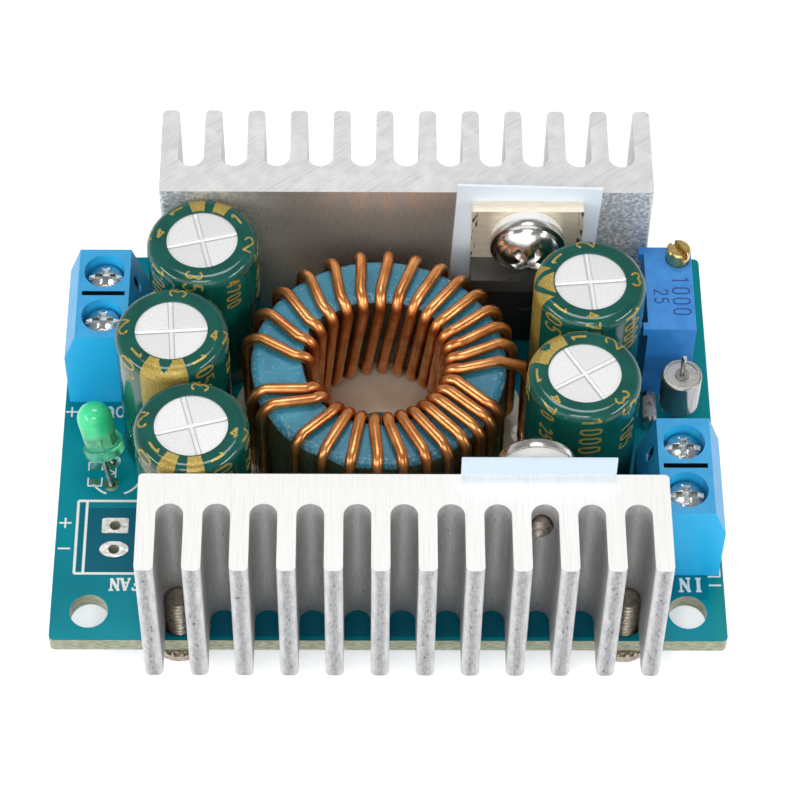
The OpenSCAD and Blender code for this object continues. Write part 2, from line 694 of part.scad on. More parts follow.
module rear_heatsink() {
    translate(rear_heatsink_at)
        heatsink(device_x - rear_heatsink_at[0], tab_hole_z(rear_device_lift));
}

// Screws up through the board, held between two fins by their threads
module heatsink_screws() {
    shank_r = slot_w / 2 - solder_clearance;
    shank_h = washer_t + board_t + foot_screw_rise;
    color([0.5, 0.47, 0.42]) for (p = FEET) translate([p[0], p[1], -washer_t]) {
        cylinder(r = shank_r, h = shank_h - foot_tip);
        translate([0, 0, shank_h - foot_tip])
            cylinder(r1 = shank_r, r2 = shank_r - foot_tip, h = foot_tip);
        rotate([180, 0, 0]) difference() {
            dome(foot_head_d, foot_head_h, foot_rim_h);
            translate([0, 0, foot_head_h])
                driver_cross(foot_cross_l, foot_cross_w, foot_cross_depth);
        }
    }
}

module heatsink_washers() {
    color([0.62, 0.6, 0.55]) for (p = FEET) translate([p[0], p[1], -washer_t]) difference() {
        cylinder(d = washer_d, h = washer_t);
        translate([0, 0, -cut]) cylinder(d = slot_w + lead_clearance, h = washer_t + 2 * cut);
    }
}

// Soft sheet between a tab and a heatsink, with the hole on its own origin
module insulator() {
    color([0.72, 0.83, 0.93]) rotate([90, 0, 0]) difference() {
        translate([-pad_w / 2, pad_top - pad_h, 0]) cube([pad_w, pad_h, pad_t]);
        translate([0, 0, -cut]) cylinder(d = pad_hole_d, h = pad_t + 2 * cut);
    }
}

// Sets what is clamped on the rear heatsink, facing the front, at its screw's axis
module on_rear_heatsink() {
    translate([device_x, rear_heatsink_at[1], board_t + tab_hole_z(rear_device_lift)]) children();
}

// Sets what is clamped on the front heatsink, facing the rear, at its screw's axis
module on_front_heatsink() {
    translate([device_x, front_heatsink_at[1], board_t + tab_hole_z(front_device_lift)])
        rotate(180) children();
}

module front_insulator() {
    on_front_heatsink() insulator();
}

module rear_insulator() {
    on_rear_heatsink() rotate([0, rear_pad_turn, 0]) insulator();
}

module bush() {
    sleeve_d = tab_hole_d - 2 * bush_clearance;
    color([0.93, 0.93, 0.9]) translate([0, -pad_t - tab_t, 0]) rotate([90, 0, 0]) difference() {
        union() {
            cylinder(d = bush_d, h = bush_t);
            translate([0, 0, -tab_t]) cylinder(d = sleeve_d, h = tab_t + bush_t);
        }
        translate([0, 0, -tab_t - cut])
            cylinder(d = device_screw_d + 2 * shank_clearance, h = tab_t + bush_t + 2 * cut);
    }
}

module insulating_bushes() {
    on_front_heatsink() bush();
    on_rear_heatsink() bush();
}

// Flanged screw through bush, tab and pad into the tapped base
module device_screw() {
    stack = pad_t + tab_t + bush_t;
    color([0.82, 0.81, 0.78]) translate([0, -stack, 0]) rotate([90, 0, 0]) {
        translate([0, 0, -stack - device_screw_depth])
            cylinder(d = device_screw_d, h = stack + device_screw_depth);
        cylinder(d = device_flange_d, h = device_flange_t);
        translate([0, 0, device_flange_t]) difference() {
            dome(device_dome_d, device_dome_h, device_rim_h);
            translate([0, 0, device_dome_h]) rotate(device_cross_turn)
                driver_cross(device_cross_l, device_cross_w, device_cross_depth);
        }
    }
}

module device_screws() {
    on_front_heatsink() device_screw();
    on_rear_heatsink() device_screw();
}

// Plastic on the front of the tab, with a sloping top edge and an ejector dimple
module device_body() {
    body_t = device_t - tab_t;
    edge_t = body_t - plastic_slope;
    color([0.12, 0.12, 0.13]) translate([0, -pad_t - tab_t, tab_hole_drop - tab_h]) difference() {
        rotate([90, 0, 90]) translate([0, 0, -device_w / 2]) linear_extrude(device_w) polygon([
            [0, 0], [-edge_t, 0], [-body_t, -plastic_slope_h],
            [-body_t, -plastic_h + plastic_slope_h], [-edge_t, -plastic_h], [0, -plastic_h]
        ]);
        translate([0, -body_t + dimple_depth, -dimple_drop]) rotate([90, 0, 0])
            cylinder(d = dimple_d, h = dimple_depth + cut);
    }
}

// Tinned copper tab and three legs that go straight down through the board
module device_frame(lift) {
    hidden_h = plastic_h - tab_end_gap;
    color([0.78, 0.75, 0.68]) {
        translate([0, -pad_t, tab_hole_drop]) difference() {
            union() {
                translate([-device_w / 2, -tab_t, -tab_h]) cube([device_w, tab_t, tab_h]);
                translate([-device_w / 2 + tab_step, -tab_t, -tab_h - hidden_h])
                    cube([device_w - 2 * tab_step, tab_t, tab_h + hidden_h]);
            }
            translate([0, cut, -tab_hole_drop]) rotate([90, 0, 0])
                cylinder(d = tab_hole_d, h = tab_t + 2 * cut);
        }
        for (step = [-1:1])
            translate([step * lead_pitch - leg_w / 2, -pad_t - leg_depth - leg_t / 2,
                       tab_hole_drop - tab_h - plastic_h - lift - board_t - lead_out])
                cube([leg_w, leg_t, lift + board_t + lead_out]);
    }
}

module front_device_body() {
    on_front_heatsink() device_body();
}

module front_device_frame() {
    on_front_heatsink() device_frame(front_device_lift);
}

module rear_device_body() {
    on_rear_heatsink() device_body();
}

module rear_device_frame() {
    on_rear_heatsink() device_frame(rear_device_lift);
}

module coil_core() {
    ring_w = (core_od - core_id) / 2;
    color([0.16, 0.4, 0.52]) translate([coil_at[0], coil_at[1], core_z]) rotate_extrude($fn = 96)
        translate([core_id / 2, 0]) union() {
            translate([core_edge_r, 0]) square([ring_w - 2 * core_edge_r, core_h]);
            translate([0, core_edge_r]) square([ring_w, core_h - 2 * core_edge_r]);
            for (x = [core_edge_r, ring_w - core_edge_r], z = [core_edge_r, core_h - core_edge_r])
                translate([x, z]) circle(core_edge_r);
        }
}

// Winding: angles of the turns on the outside and in the bore of the core, in degrees.
// Each group has its first angle, its first step and half the change of that step from turn to turn.
// The rear turns open out from right to left, a few turns stand apart at the left, and the front turns
// close up from left to right.
rear_outer = [-2, 9.2, 0.22];
rear_inner = [-11.4, 11, 0.19];
left_outer = [200.4, 9.5, 0];
left_inner = [209.5, 10.6, 0];
front_outer = [232, 13.5, -0.35];
front_inner = [236, 10.23, 0];
left_turns = 2;
function opening(group, i) = group[0] + group[1] * i + group[2] * i * i;
function turn_angle(k, rear, left, front) =
    k < rear_turns ? opening(rear, k)
    : k < rear_turns + left_turns ? opening(left, k - rear_turns)
    : opening(front, k - rear_turns - left_turns);
function outer_turn(k) = turn_angle(k, rear_outer, left_outer, front_outer);
function inner_turn(k) = turn_angle(k, rear_inner, left_inner, front_inner);
turns = rear_turns + front_turns;
bend_steps = [0, 45, 90];

// One bend of the wire in the plane of its turn: angle, radius and height of each point
function bend(turn, r, z, from) =
    [for (a = bend_steps) [turn, r + lay_bend * cos(from + a), z + lay_bend * sin(from + a)]];
function outer_bottom(k) = bend(outer_turn(k), lay_outer - lay_bend, lay_bottom + lay_bend, -90);
function outer_top(k) = bend(outer_turn(k), lay_outer - lay_bend, lay_top - lay_bend, 0);
function inner_top(k) = bend(inner_turn(k), lay_inner + lay_bend, lay_top - lay_bend, 90);
function inner_bottom(k) =
    bend(inner_turn(k) + bore_slant, lay_inner + lay_bend, lay_bottom + lay_bend, 180);
lead_bend = wire_d * 2 / 3;
winding_start = [
    [coil_start_turn, coil_start_r, -lead_out],
    [coil_start_turn, coil_start_r, core_top - core_h / 2],
    [coil_start_turn, coil_start_r, lay_top - 2 * lay_bend],
    [coil_start_turn - 1, coil_start_r - 0.35 * lay_bend, lay_top - 0.6 * lay_bend],
    [coil_start_turn - 2, lay_outer - lay_bend, lay_top]
];
winding_end = [
    [coil_end_turn, coil_end_r - lead_bend, lay_bottom],
    [coil_end_turn, coil_end_r - lead_bend * (1 - sin(45)), lay_bottom - lead_bend * (1 - cos(45))],
    [coil_end_turn, coil_end_r, lay_bottom - lead_bend],
    [coil_end_turn, coil_end_r, -lead_out]
];
winding_path = concat(
    winding_start,
    [for (k = [0:turns - 1]) each concat(
        k > 0 ? concat(outer_bottom(k), outer_top(k)) : [],
        inner_top(k),
        inner_bottom(k)
    )],
    winding_end
);

function unit(v) = v / norm(v);
// Ring of points round one place of a path, square to its direction
function ring(p, along, beside, r, sides) =
    let (u = unit(beside - (beside * along) * along), v = cross(along, u))
    [for (s = [0:sides - 1]) p + r * (cos(360 * s / sides) * u + sin(360 * s / sides) * v)];

// Round wire along points given as angle, radius and height about the coil's axis
module wound_wire(path, r, sides) {
    last = len(path) - 1;
    places = [for (q = path) coil_point(q[0], q[1], q[2])];
    points = [for (i = [0:last]) each ring(
        places[i],
        unit(places[min(i + 1, last)] - places[max(i - 1, 0)]),
        [-sin(path[i][0]), cos(path[i][0]), 0],
        r, sides
    )];
    faces = concat(
        [[for (s = [0:sides - 1]) s]],
        [for (i = [0:last - 1], s = [0:sides - 1])
            let (a = i * sides + s, b = i * sides + (s + 1) % sides) [a, a + sides, b + sides]],
        [for (i = [0:last - 1], s = [0:sides - 1])
            let (a = i * sides + s, b = i * sides + (s + 1) % sides) [a, b + sides, b]],
        [[for (s = [sides - 1:-1:0]) last * sides + s]]
    );
    polyhedron(points = points, faces = faces);
}

module coil_winding() {
    color([0.72, 0.4, 0.2]) wound_wire(winding_path, wire_r, 8);
}

// Half section of a can or of its sleeve, rounded at the shoulder and rolled in at the bead
module can_section(r, h, shoulder_r, rim_z) {
    difference() {
        union() {
            translate([0, rim_z]) square([r, h - rim_z - shoulder_r]);
            square([r - shoulder_r, h]);
            translate([r - shoulder_r, h - shoulder_r]) circle(shoulder_r);
        }
        translate([r + bead_r - bead_depth, bung_step + bead_z]) circle(bead_r);
        translate([-1, -1]) square([r + 2, 1 + rim_z]);
    }
}

// Aluminium can: bare on top with a scored cross, hollow below for the bung
module capacitor_can(i) {
    color([0.84, 0.84, 0.85]) translate(CAPS[i]) difference() {
        rotate_extrude() can_section(can_r, cap_h - sleeve_t, cap_shoulder_r, bung_step + sleeve_t);
        translate([0, 0, -cut])
            cylinder(r = bung_r + solder_clearance, h = bung_step + bung_depth + cut);
        translate([0, 0, cap_h - sleeve_t]) rotate(VENT_TURNS[i])
            driver_cross(cap_disc_d - 2 * vent_margin, vent_w, vent_depth);
    }
}

// Shrunk sleeve: follows the can and turns in over its shoulder and rim
module capacitor_sleeve(i) {
    color([0.05, 0.27, 0.22]) translate(CAPS[i]) rotate_extrude() difference() {
        can_section(cap_r, cap_h, cap_shoulder_r + sleeve_t, bung_step);
        can_section(cap_r - sleeve_t, cap_h - sleeve_t, cap_shoulder_r, bung_step + sleeve_t);
        translate([-1, 1]) square([1 + cap_disc_d / 2, cap_h]);
        translate([-1, 0]) square([1 + bung_r + solder_clearance, bung_step + bead_z]);
    }
}

module capacitor_bungs() {
    color([0.1, 0.1, 0.1]) for (c = CAPS) translate(c)
        cylinder(r = bung_r, h = bung_step + bung_depth);
}

module capacitor_leads() {
    color([0.75, 0.75, 0.75]) for (c = CAPS, side = [-1, 1])
        translate([c[0] + side * cap_lead_pitch / 2, c[1], -lead_out])
            cylinder(d = cap_lead_d, h = board_t + lead_out);
}

// Moulded block: x in from the wire side, y along the poles, z up from the board
module terminal_housing() {
    length = 2 * pole_pitch;
    well_z = ledge_z + ledge_t;
    color([0.16, 0.6, 0.86]) difference() {
        translate([0, length / 2, 0]) rotate([90, 0, 0]) linear_extrude(length) polygon([
            [0, 0], [terminal_depth, 0], [terminal_depth, inner_slope_z],
            [terminal_depth - inner_slope, terminal_h], [outer_slope, terminal_h], [0, outer_slope_z]
        ]);
        translate([(outer_slope + terminal_depth - inner_slope - pole_slot_l) / 2, -pole_slot_w / 2,
                   terminal_h - pole_slot_depth])
            cube([pole_slot_l, pole_slot_w, pole_slot_depth + cut]);
        for (side = [-1, 1]) translate([0, side * pole_pitch / 2, 0]) {
            translate([screw_inset, 0, well_z]) cylinder(d = well_d, h = terminal_h);
            translate([screw_inset, 0, ledge_z - cut])
                cylinder(d = terminal_shank_d + 2 * thread_clearance, h = ledge_t + 2 * cut);
            translate([clamp_out - clamp_clearance, -chamber_w / 2, block_floor_t])
                cube([clamp_d + 2 * clamp_clearance, chamber_w, ledge_z - block_floor_t]);
            translate([-cut, -entry_w / 2, clamp_z])
                cube([clamp_out + cut, entry_w, entry_h]);
            translate([screw_inset, -contact_w / 2 - contact_clearance, -cut])
                cube([leg_inset + contact_t / 2 + contact_clearance - screw_inset,
                      contact_w + 2 * contact_clearance,
                      cut + bar_z + contact_t + contact_clearance]);
            translate([terminal_depth - inner_slope / 2, 0, (terminal_h + inner_slope_z) / 2])
                rotate([0, -atan(inner_slope / (terminal_h - inner_slope_z)), 0])
                    translate([0, 0, side_slot_rise]) side_slot();
        }
    }
}

// Upright slot with round ends, cut on both sides of the plane x = 0
module side_slot() {
    straight = side_slot_l - side_slot_w;
    rotate([0, 90, 0]) translate([0, 0, -side_slot_depth]) linear_extrude(2 * side_slot_depth) union() {
        square([straight, side_slot_w], center = true);
        for (end = [-1, 1]) translate([end * straight / 2, 0]) circle(d = side_slot_w);
    }
}

// Contact bar through the clamp, with a leg down through the block and the board
module terminal_contact() {
    color([0.78, 0.76, 0.7]) {
        translate([clamp_out, -contact_w / 2, bar_z])
            cube([leg_inset + contact_t / 2 - clamp_out, contact_w, contact_t]);
        translate([leg_inset - contact_t / 2, -contact_w / 2, -board_t - lead_out])
            cube([contact_t, contact_w, board_t + lead_out + bar_z + contact_t]);
    }
}

// Screw that turns in place on the ledge
module terminal_screw() {
    color([0.7, 0.72, 0.74]) translate([screw_inset, 0, 0]) {
        translate([0, 0, shank_end_z])
            cylinder(d = terminal_shank_d, h = head_top_z - terminal_head_h / 2 - shank_end_z);
        translate([0, 0, head_top_z]) difference() {
            translate([0, 0, -terminal_head_h]) dome(terminal_head_d, terminal_head_h, terminal_rim_h);
            driver_cross(terminal_cross_l, terminal_cross_w, terminal_cross_depth);
            translate([-terminal_head_d, -terminal_slot_w / 2, -terminal_slot_depth])
                cube([2 * terminal_head_d, terminal_slot_w, terminal_slot_depth + cut]);
        }
    }
}

// Box clamp that the screw draws up towards the bar
module terminal_clamp() {
    color([0.75, 0.74, 0.7]) difference() {
        translate([clamp_out, -clamp_w / 2, clamp_z]) cube([clamp_d, clamp_w, clamp_top_z - clamp_z]);
        translate([clamp_out - cut, -clamp_w / 2 + clamp_side_t, clamp_z + clamp_floor_t])
            cube([clamp_d + 2 * cut, clamp_w - 2 * clamp_side_t, shank_end_z - clamp_z - clamp_floor_t]);
        translate([screw_inset, 0, shank_end_z - cut])
            cylinder(d = terminal_shank_d + 2 * thread_clearance, h = clamp_top_t + 2 * cut);
    }
}

module at_left_terminal(side = 0) {
    translate(left_terminal_at + [0, side * pole_pitch / 2, 0]) children();
}

module at_right_terminal(side = 0) {
    translate(right_terminal_at + [0, side * pole_pitch / 2, 0]) rotate(180) children();
}

module terminal_contacts() {
    for (side = [-1, 1]) {
        at_left_terminal(side) terminal_contact();
        at_right_terminal(side) terminal_contact();
    }
}

// Case of the trimmer: two end ribs at its top left, feet below and a blind hole for the screw
module trimmer_housing() {
    screw_x = trimmer_w / 2 - trimmer_screw_inset;
    screw_y = trimmer_l / 2 - trimmer_screw_inset;
    color([0.12, 0.4, 0.75]) translate(trimmer_at) difference() {
        union() {
            translate([-trimmer_w / 2 + rib_d, -trimmer_l / 2, trimmer_foot_h])
                cube([trimmer_w - rib_d, trimmer_l, trimmer_h - trimmer_foot_h]);
            for (y = [-trimmer_l / 2, trimmer_l / 2 - rib_l])
                translate([-trimmer_w / 2, y, trimmer_h - rib_h]) cube([2 * rib_d, rib_l, rib_h]);
            for (y = [-trimmer_l / 2, trimmer_l / 2 - trimmer_foot_l])
                translate([-trimmer_w / 2 + rib_d, y, 0])
                    cube([trimmer_w - rib_d, trimmer_foot_l, 2 * trimmer_foot_h]);
        }
        translate([screw_x, screw_y, trimmer_h - trimmer_screw_depth - trimmer_screw_end_gap])
            cylinder(d = trimmer_screw_d + 2 * trimmer_screw_clearance, h = trimmer_h);
    }
}

module trimmer_screw() {
    length = trimmer_screw_depth + trimmer_screw_rise;
    color([0.78, 0.62, 0.3])
        translate(trimmer_at + [trimmer_w / 2 - trimmer_screw_inset, trimmer_l / 2 - trimmer_screw_inset,
                                trimmer_h - trimmer_screw_depth]) difference() {
            union() {
                cylinder(d = trimmer_screw_d, h = length - trimmer_screw_edge);
                translate([0, 0, length - trimmer_screw_edge])
                    cylinder(d1 = trimmer_screw_d, d2 = trimmer_screw_d - 2 * trimmer_screw_edge,
                             h = trimmer_screw_edge);
            }
            rotate(trimmer_slot_turn)
                translate([-trimmer_screw_d, -trimmer_slot_w / 2, length - trimmer_slot_depth])
                    cube([2 * trimmer_screw_d, trimmer_slot_w, trimmer_slot_depth + cut]);
        }
}

module trimmer_pins() {
    color([0.75, 0.75, 0.72]) for (p = trimmer_pins_at) translate([p[0], p[1], -lead_out])
        cylinder(d = trimmer_pin_d, h = lead_out + board_t + trimmer_foot_h);
}

// Sets what leans with the lamp, with its origin where the leads leave the board
module lamp_lean() {
    translate(lamp_at) rotate([-lamp_lean_back, -lamp_lean_left, 0]) children();
}

module lamp_lens() {
    flat_x = lamp_flange_d / 2 - lamp_flat;
    color([0.25, 0.85, 0.45]) lamp_lean() translate([0, 0, lamp_lead_l]) {
        difference() {
            cylinder(d = lamp_flange_d, h = lamp_flange_t);
            translate([-flat_x - lamp_flange_d, -lamp_flange_d, -cut])
                cube([lamp_flange_d, 2 * lamp_flange_d, 2 * lamp_flange_t]);
        }
        cylinder(d = lamp_d, h = lamp_h - lamp_d / 2);
        translate([0, 0, lamp_h - lamp_d / 2]) sphere(d = lamp_d);
    }
}

// Leads straight up through the board, bent at its top face and slanting up to the flange
module lamp_leads() {
    color([0.75, 0.73, 0.68]) for (p = lamp_leads) {
        slant_l = lamp_lead_l - (p[1] - lamp_at[1]) * lamp_axis[1];
        translate([p[0], p[1], -lead_out]) cylinder(d = lamp_lead_d, h = board_t + lead_out);
        translate([p[0], p[1], board_t]) {
            sphere(d = lamp_lead_d + lamp_bend_swell);
            rotate([-lamp_lean_back, -lamp_lean_left, 0]) cylinder(d = lamp_lead_d, h = slant_l);
        }
    }
}

// Drawn metal can that stands on its own lower lead
module standing_can() {
    color([0.35, 0.35, 0.36]) translate(can_at + [0, 0, can_lift]) difference() {
        rotate_extrude() union() {
            translate([0, can_edge_r]) square([can_d / 2, can_h - 2 * can_edge_r]);
            square([can_d / 2 - can_edge_r, can_h]);
            for (z = [can_edge_r, can_h - can_edge_r])
                translate([can_d / 2 - can_edge_r, z]) circle(can_edge_r);
        }
        translate([0, 0, can_h - can_lid_depth])
            cylinder(d = can_d - 2 * (can_edge_r + can_rim_w), h = can_lid_depth + cut);
        translate([0, 0, can_h - can_seal_t])
            cylinder(d = can_seal_d + 2 * solder_clearance, h = can_seal_t + cut);
    }
}

module standing_can_seal() {
    color([0.3, 0.28, 0.26]) translate(can_at + [0, 0, can_lift + can_h - can_seal_t]) difference() {
        cylinder(d = can_seal_d, h = can_seal_t);
        translate([0, 0, -cut]) cylinder(d = can_lead_d + 2 * solder_clearance, h = can_seal_t + 2 * cut);
    }
}

// Lower lead straight down through the board, and top lead straight up with a rounded end
module standing_can_leads() {
    foot = can_lift + board_t + lead_out;
    top = can_h - can_seal_t;
    rise = can_seal_t + can_lead_rise - can_lead_d / 2;
    color([0.75, 0.74, 0.72]) translate(can_at + [0, 0, can_lift]) {
        translate([0, 0, -foot]) cylinder(d = can_lead_d, h = foot);
        translate([0, 0, top]) cylinder(d = can_lead_d, h = rise);
        translate([0, 0, top + rise]) sphere(d = can_lead_d);
    }
}

module glass_diode() {
    color([0.85, 0.6, 0.45]) translate(glass_at + [0, 0, glass_d / 2]) rotate([90, 0, 0])
        cylinder(d = glass_d - 2 * glass_cap_step, h = glass_l - 2 * glass_cap_l, center = true);
}

module glass_diode_caps() {
    color([0.8, 0.8, 0.8]) for (side = [-1, 1])
        translate(glass_at + [0, side * (glass_l - glass_cap_l) / 2, glass_d / 2]) rotate([90, 0, 0])
            cylinder(d = glass_d, h = glass_cap_l, center = true);
}

// Controller and chip parts under the board, in the clear middle below the coil
controller_at = [coil_at[0], coil_at[1], 0];
smd_row_y = chip_w / 2 + chip_leg_reach + smd_row_gap;
chip_places = [for (i = [-1.5:1:1.5], side = [-1, 1])
    [coil_at[0] + i * smd_pitch, coil_at[1] + side * smd_row_y, 0]];

module controller_chip() {
    color([0.1, 0.1, 0.11]) translate(controller_at) difference() {
        translate([-chip_l / 2, -chip_w / 2, -chip_gap - chip_h]) cube([chip_l, chip_w, chip_h]);
        translate([-chip_l / 2 + chip_dot_inset, -chip_w / 2 + chip_dot_inset, -chip_gap - chip_h - cut])
            cylinder(d = chip_dot_d, h = cut + chip_dot_depth);
    }
}

// Gull-wing legs, four on each long side
module controller_legs() {
    mid = chip_gap + chip_h / 2;
    bend = chip_leg_bend;
    color([0.78, 0.77, 0.74]) for (side = [0, 180], i = [-1.5:1:1.5])
        translate(controller_at) rotate(side) translate([i * chip_leg_pitch - chip_leg_w / 2, chip_w / 2, 0])
            rotate([90, 0, 90]) linear_extrude(chip_leg_w) polygon([
                [0, -mid], [bend, -mid], [bend, 0], [chip_leg_reach, 0],
                [chip_leg_reach, -chip_leg_t], [bend + chip_leg_t, -chip_leg_t],
                [bend + chip_leg_t, -mid - chip_leg_t], [0, -mid - chip_leg_t]
            ]);
}

module chip_bodies() {
    color([0.2, 0.18, 0.17]) for (p = chip_places)
        translate(p + [0, 0, -smd_h / 2]) cube([smd_w, smd_l - 2 * smd_end_l, smd_h], center = true);
}

module chip_ends() {
    color([0.8, 0.8, 0.79]) for (p = chip_places, side = [-1, 1])
        translate(p + [0, side * (smd_l - smd_end_l) / 2, -smd_h / 2])
            cube([smd_w, smd_end_l, smd_h], center = true);
}

// Solder round every lead on the underside: a concave cone
module solder_joints() {
    color([0.76, 0.77, 0.78]) for (p = LEADS) translate([p[0], p[1], 0]) {
        lead = p[2] + solder_clearance;
        spread = solder_r + lead_clearance;
        rotate_extrude() difference() {
            translate([lead, -solder_h]) square([spread, solder_h]);
            translate([lead + spread, -solder_h]) circle(r = solder_hollow_r);
        }
    }
}

circuit_board();
front_heatsink();
rear_heatsink();
heatsink_screws();
heatsink_washers();
front_insulator();
rear_insulator();
insulating_bushes();
device_screws();
front_device_body();
front_device_frame();
rear_device_body();
rear_device_frame();
coil_core();
coil_winding();
capacitor_can(0);  // capacitor_1_can
capacitor_can(1);  // capacitor_2_can
capacitor_can(2);  // capacitor_3_can
capacitor_can(3);  // capacitor_4_can
capacitor_can(4);  // capacitor_5_can
capacitor_sleeve(0);  // capacitor_1_sleeve
capacitor_sleeve(1);  // capacitor_2_sleeve
capacitor_sleeve(2);  // capacitor_3_sleeve
capacitor_sleeve(3);  // capacitor_4_sleeve
capacitor_sleeve(4);  // capacitor_5_sleeve
capacitor_bungs();
capacitor_leads();
at_left_terminal() terminal_housing();  // left_terminal_housing
at_right_terminal() terminal_housing();  // right_terminal_housing
terminal_contacts();
at_left_terminal(-1) terminal_screw();  // left_front_screw
at_left_terminal(1) terminal_screw();  // left_rear_screw
at_right_terminal(-1) terminal_screw();  // right_front_screw
at_right_terminal(1) terminal_screw();  // right_rear_screw
at_left_terminal(-1) terminal_clamp();  // left_front_clamp
at_left_terminal(1) terminal_clamp();  // left_rear_clamp
at_right_terminal(-1) terminal_clamp();  // right_front_clamp
at_right_terminal(1) terminal_clamp();  // right_rear_clamp
trimmer_housing();
trimmer_screw();
trimmer_pins();
lamp_lens();
lamp_leads();
standing_can();
standing_can_seal();
standing_can_leads();
glass_diode();
glass_diode_caps();
controller_chip();
controller_legs();
chip_bodies();
chip_ends();
solder_joints();
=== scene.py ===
import math

import bpy
from mathutils import Matrix, Vector


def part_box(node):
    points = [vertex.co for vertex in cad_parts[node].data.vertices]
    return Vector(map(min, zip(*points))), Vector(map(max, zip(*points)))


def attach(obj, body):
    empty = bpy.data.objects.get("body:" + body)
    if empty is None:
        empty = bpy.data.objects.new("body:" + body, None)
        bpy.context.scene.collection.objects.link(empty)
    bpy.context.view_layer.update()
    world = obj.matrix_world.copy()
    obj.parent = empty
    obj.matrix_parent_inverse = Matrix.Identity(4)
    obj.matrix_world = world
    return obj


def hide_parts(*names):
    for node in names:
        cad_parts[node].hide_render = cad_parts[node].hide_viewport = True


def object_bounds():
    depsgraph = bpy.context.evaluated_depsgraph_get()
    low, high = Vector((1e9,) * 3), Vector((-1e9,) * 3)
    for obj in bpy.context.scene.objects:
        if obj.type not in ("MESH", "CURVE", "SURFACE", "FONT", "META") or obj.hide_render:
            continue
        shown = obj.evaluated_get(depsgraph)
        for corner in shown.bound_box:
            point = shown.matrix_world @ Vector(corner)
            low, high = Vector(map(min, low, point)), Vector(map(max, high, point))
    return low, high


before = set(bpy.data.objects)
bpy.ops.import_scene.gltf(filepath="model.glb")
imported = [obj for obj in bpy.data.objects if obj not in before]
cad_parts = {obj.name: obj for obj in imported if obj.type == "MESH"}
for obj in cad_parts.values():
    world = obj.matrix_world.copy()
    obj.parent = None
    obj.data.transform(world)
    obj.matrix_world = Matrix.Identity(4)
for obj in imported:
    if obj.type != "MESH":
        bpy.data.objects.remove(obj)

cad_box = [list(corner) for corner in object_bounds()]
MM = 0.001


# Studio: white paper that sweeps away behind the object, with soft boxes at both sides, above and in
# front. A long lens looks down on the board from the front.
class Finish:
    """A material on one principled shader. Its textures are measured in millimetres of the object."""

    def __init__(self, name, sockets):
        self.material = bpy.data.materials.new(name)
        self.material.use_nodes = True
        self.tree = self.material.node_tree
        self.shader = self.tree.nodes["Principled BSDF"]
        for socket, value in sockets.items():
            self.put(self.shader.inputs[socket], value)

    def put(self, socket, value):
        if isinstance(value, bpy.types.NodeSocket):
            self.tree.links.new(value, socket)
        else:
            socket.default_value = value

    def node(self, kind, inputs, **settings):
        made = self.tree.nodes.new("ShaderNode" + kind)
        for name, value in settings.items():
            setattr(made, name, value)
        for name, value in inputs.items():
            self.put(made.inputs[name], value)
        return made

    def grain(self, size, stretch=(1, 1, 1), turn=(0, 0, 0), detail=3.0):
        """Noise with grains of about that size, drawn out along the axes by stretch."""
        place = self.node("TexCoord", {}).outputs["Object"]
        scale = [size * MM * s for s in stretch]
        mapped = self.node(
            "Mapping", {"Vector": place, "Rotation": turn, "Scale": scale}, vector_type="TEXTURE"
        )
        noise = self.node("TexNoise", {"Vector": mapped.outputs["Vector"], "Scale": 1.0, "Detail": detail})
        return noise.outputs["Fac"]

    def ramp(self, factor, stops):
        made = self.node("ValToRGB", {"Fac": factor})
        elements = made.color_ramp.elements
        for _ in range(len(stops) - 2):
            elements.new(0.5)
        for element, (place, colour) in zip(elements, stops):
            element.position = place
            element.color = (*colour, 1.0)
        return made.outputs["Color"]

    def math(self, operation, a, b):
        return self.node("Math", {0: a, 1: b}, operation=operation).outputs[0]

    def over(self, value, limit):
        return self.math("GREATER_THAN", value, limit)

    def under(self, value, limit):
        return self.math("LESS_THAN", value, limit)

    def size(self, value):
        return self.math("ABSOLUTE", value, 0)

    def minus(self, a, b):
        return self.math("SUBTRACT", a, b)

    def times(self, value, *others):
        for other in others:
            value = self.math("MULTIPLY", value, other)
        return value

    def within(self, value, middle, reach):
        """One where a place lies within that reach of a middle, in millimetres, and elsewhere nought."""
        return self.under(self.size(self.minus(value, middle * MM)), reach * MM)

    def span(self, value, low, high, start=0.0, end=1.0):
        """Runs from start to end while the value runs from low to high."""
        limits = {"From Min": low, "From Max": high, "To Min": start, "To Max": end}
        return self.node("MapRange", {"Value": value, **limits}).outputs["Result"]

    def mix(self, factor, a, b):
        return self.node("Mix", {0: factor, 6: a, 7: b}, data_type="RGBA").outputs[2]

    def blend(self, factor, a, b):
        return self.node("Mix", {0: factor, 2: a, 3: b}, data_type="FLOAT").outputs[0]

    def tone(self, grain, dark, light, start=0.3, end=0.7):
        """Colours the surface from a dark to a light tone, after its grain."""
        self.set("Base Color", self.ramp(grain, [(start, dark), (end, light)]))

    def normal_part(self, axis):
        normal = self.node("NewGeometry", {}).outputs["Normal"]
        return self.node("SeparateXYZ", {0: normal}).outputs[axis]

    def place_part(self, axis):
        place = self.node("TexCoord", {}).outputs["Object"]
        return self.node("SeparateXYZ", {0: place}).outputs[axis]

    def bump(self, height, depth, strength=1.0):
        made = self.node("Bump", {"Height": height, "Distance": depth * MM, "Strength": strength})
        self.put(self.shader.inputs["Normal"], made.outputs["Normal"])

    def set(self, socket, value):
        self.put(self.shader.inputs[socket], value)


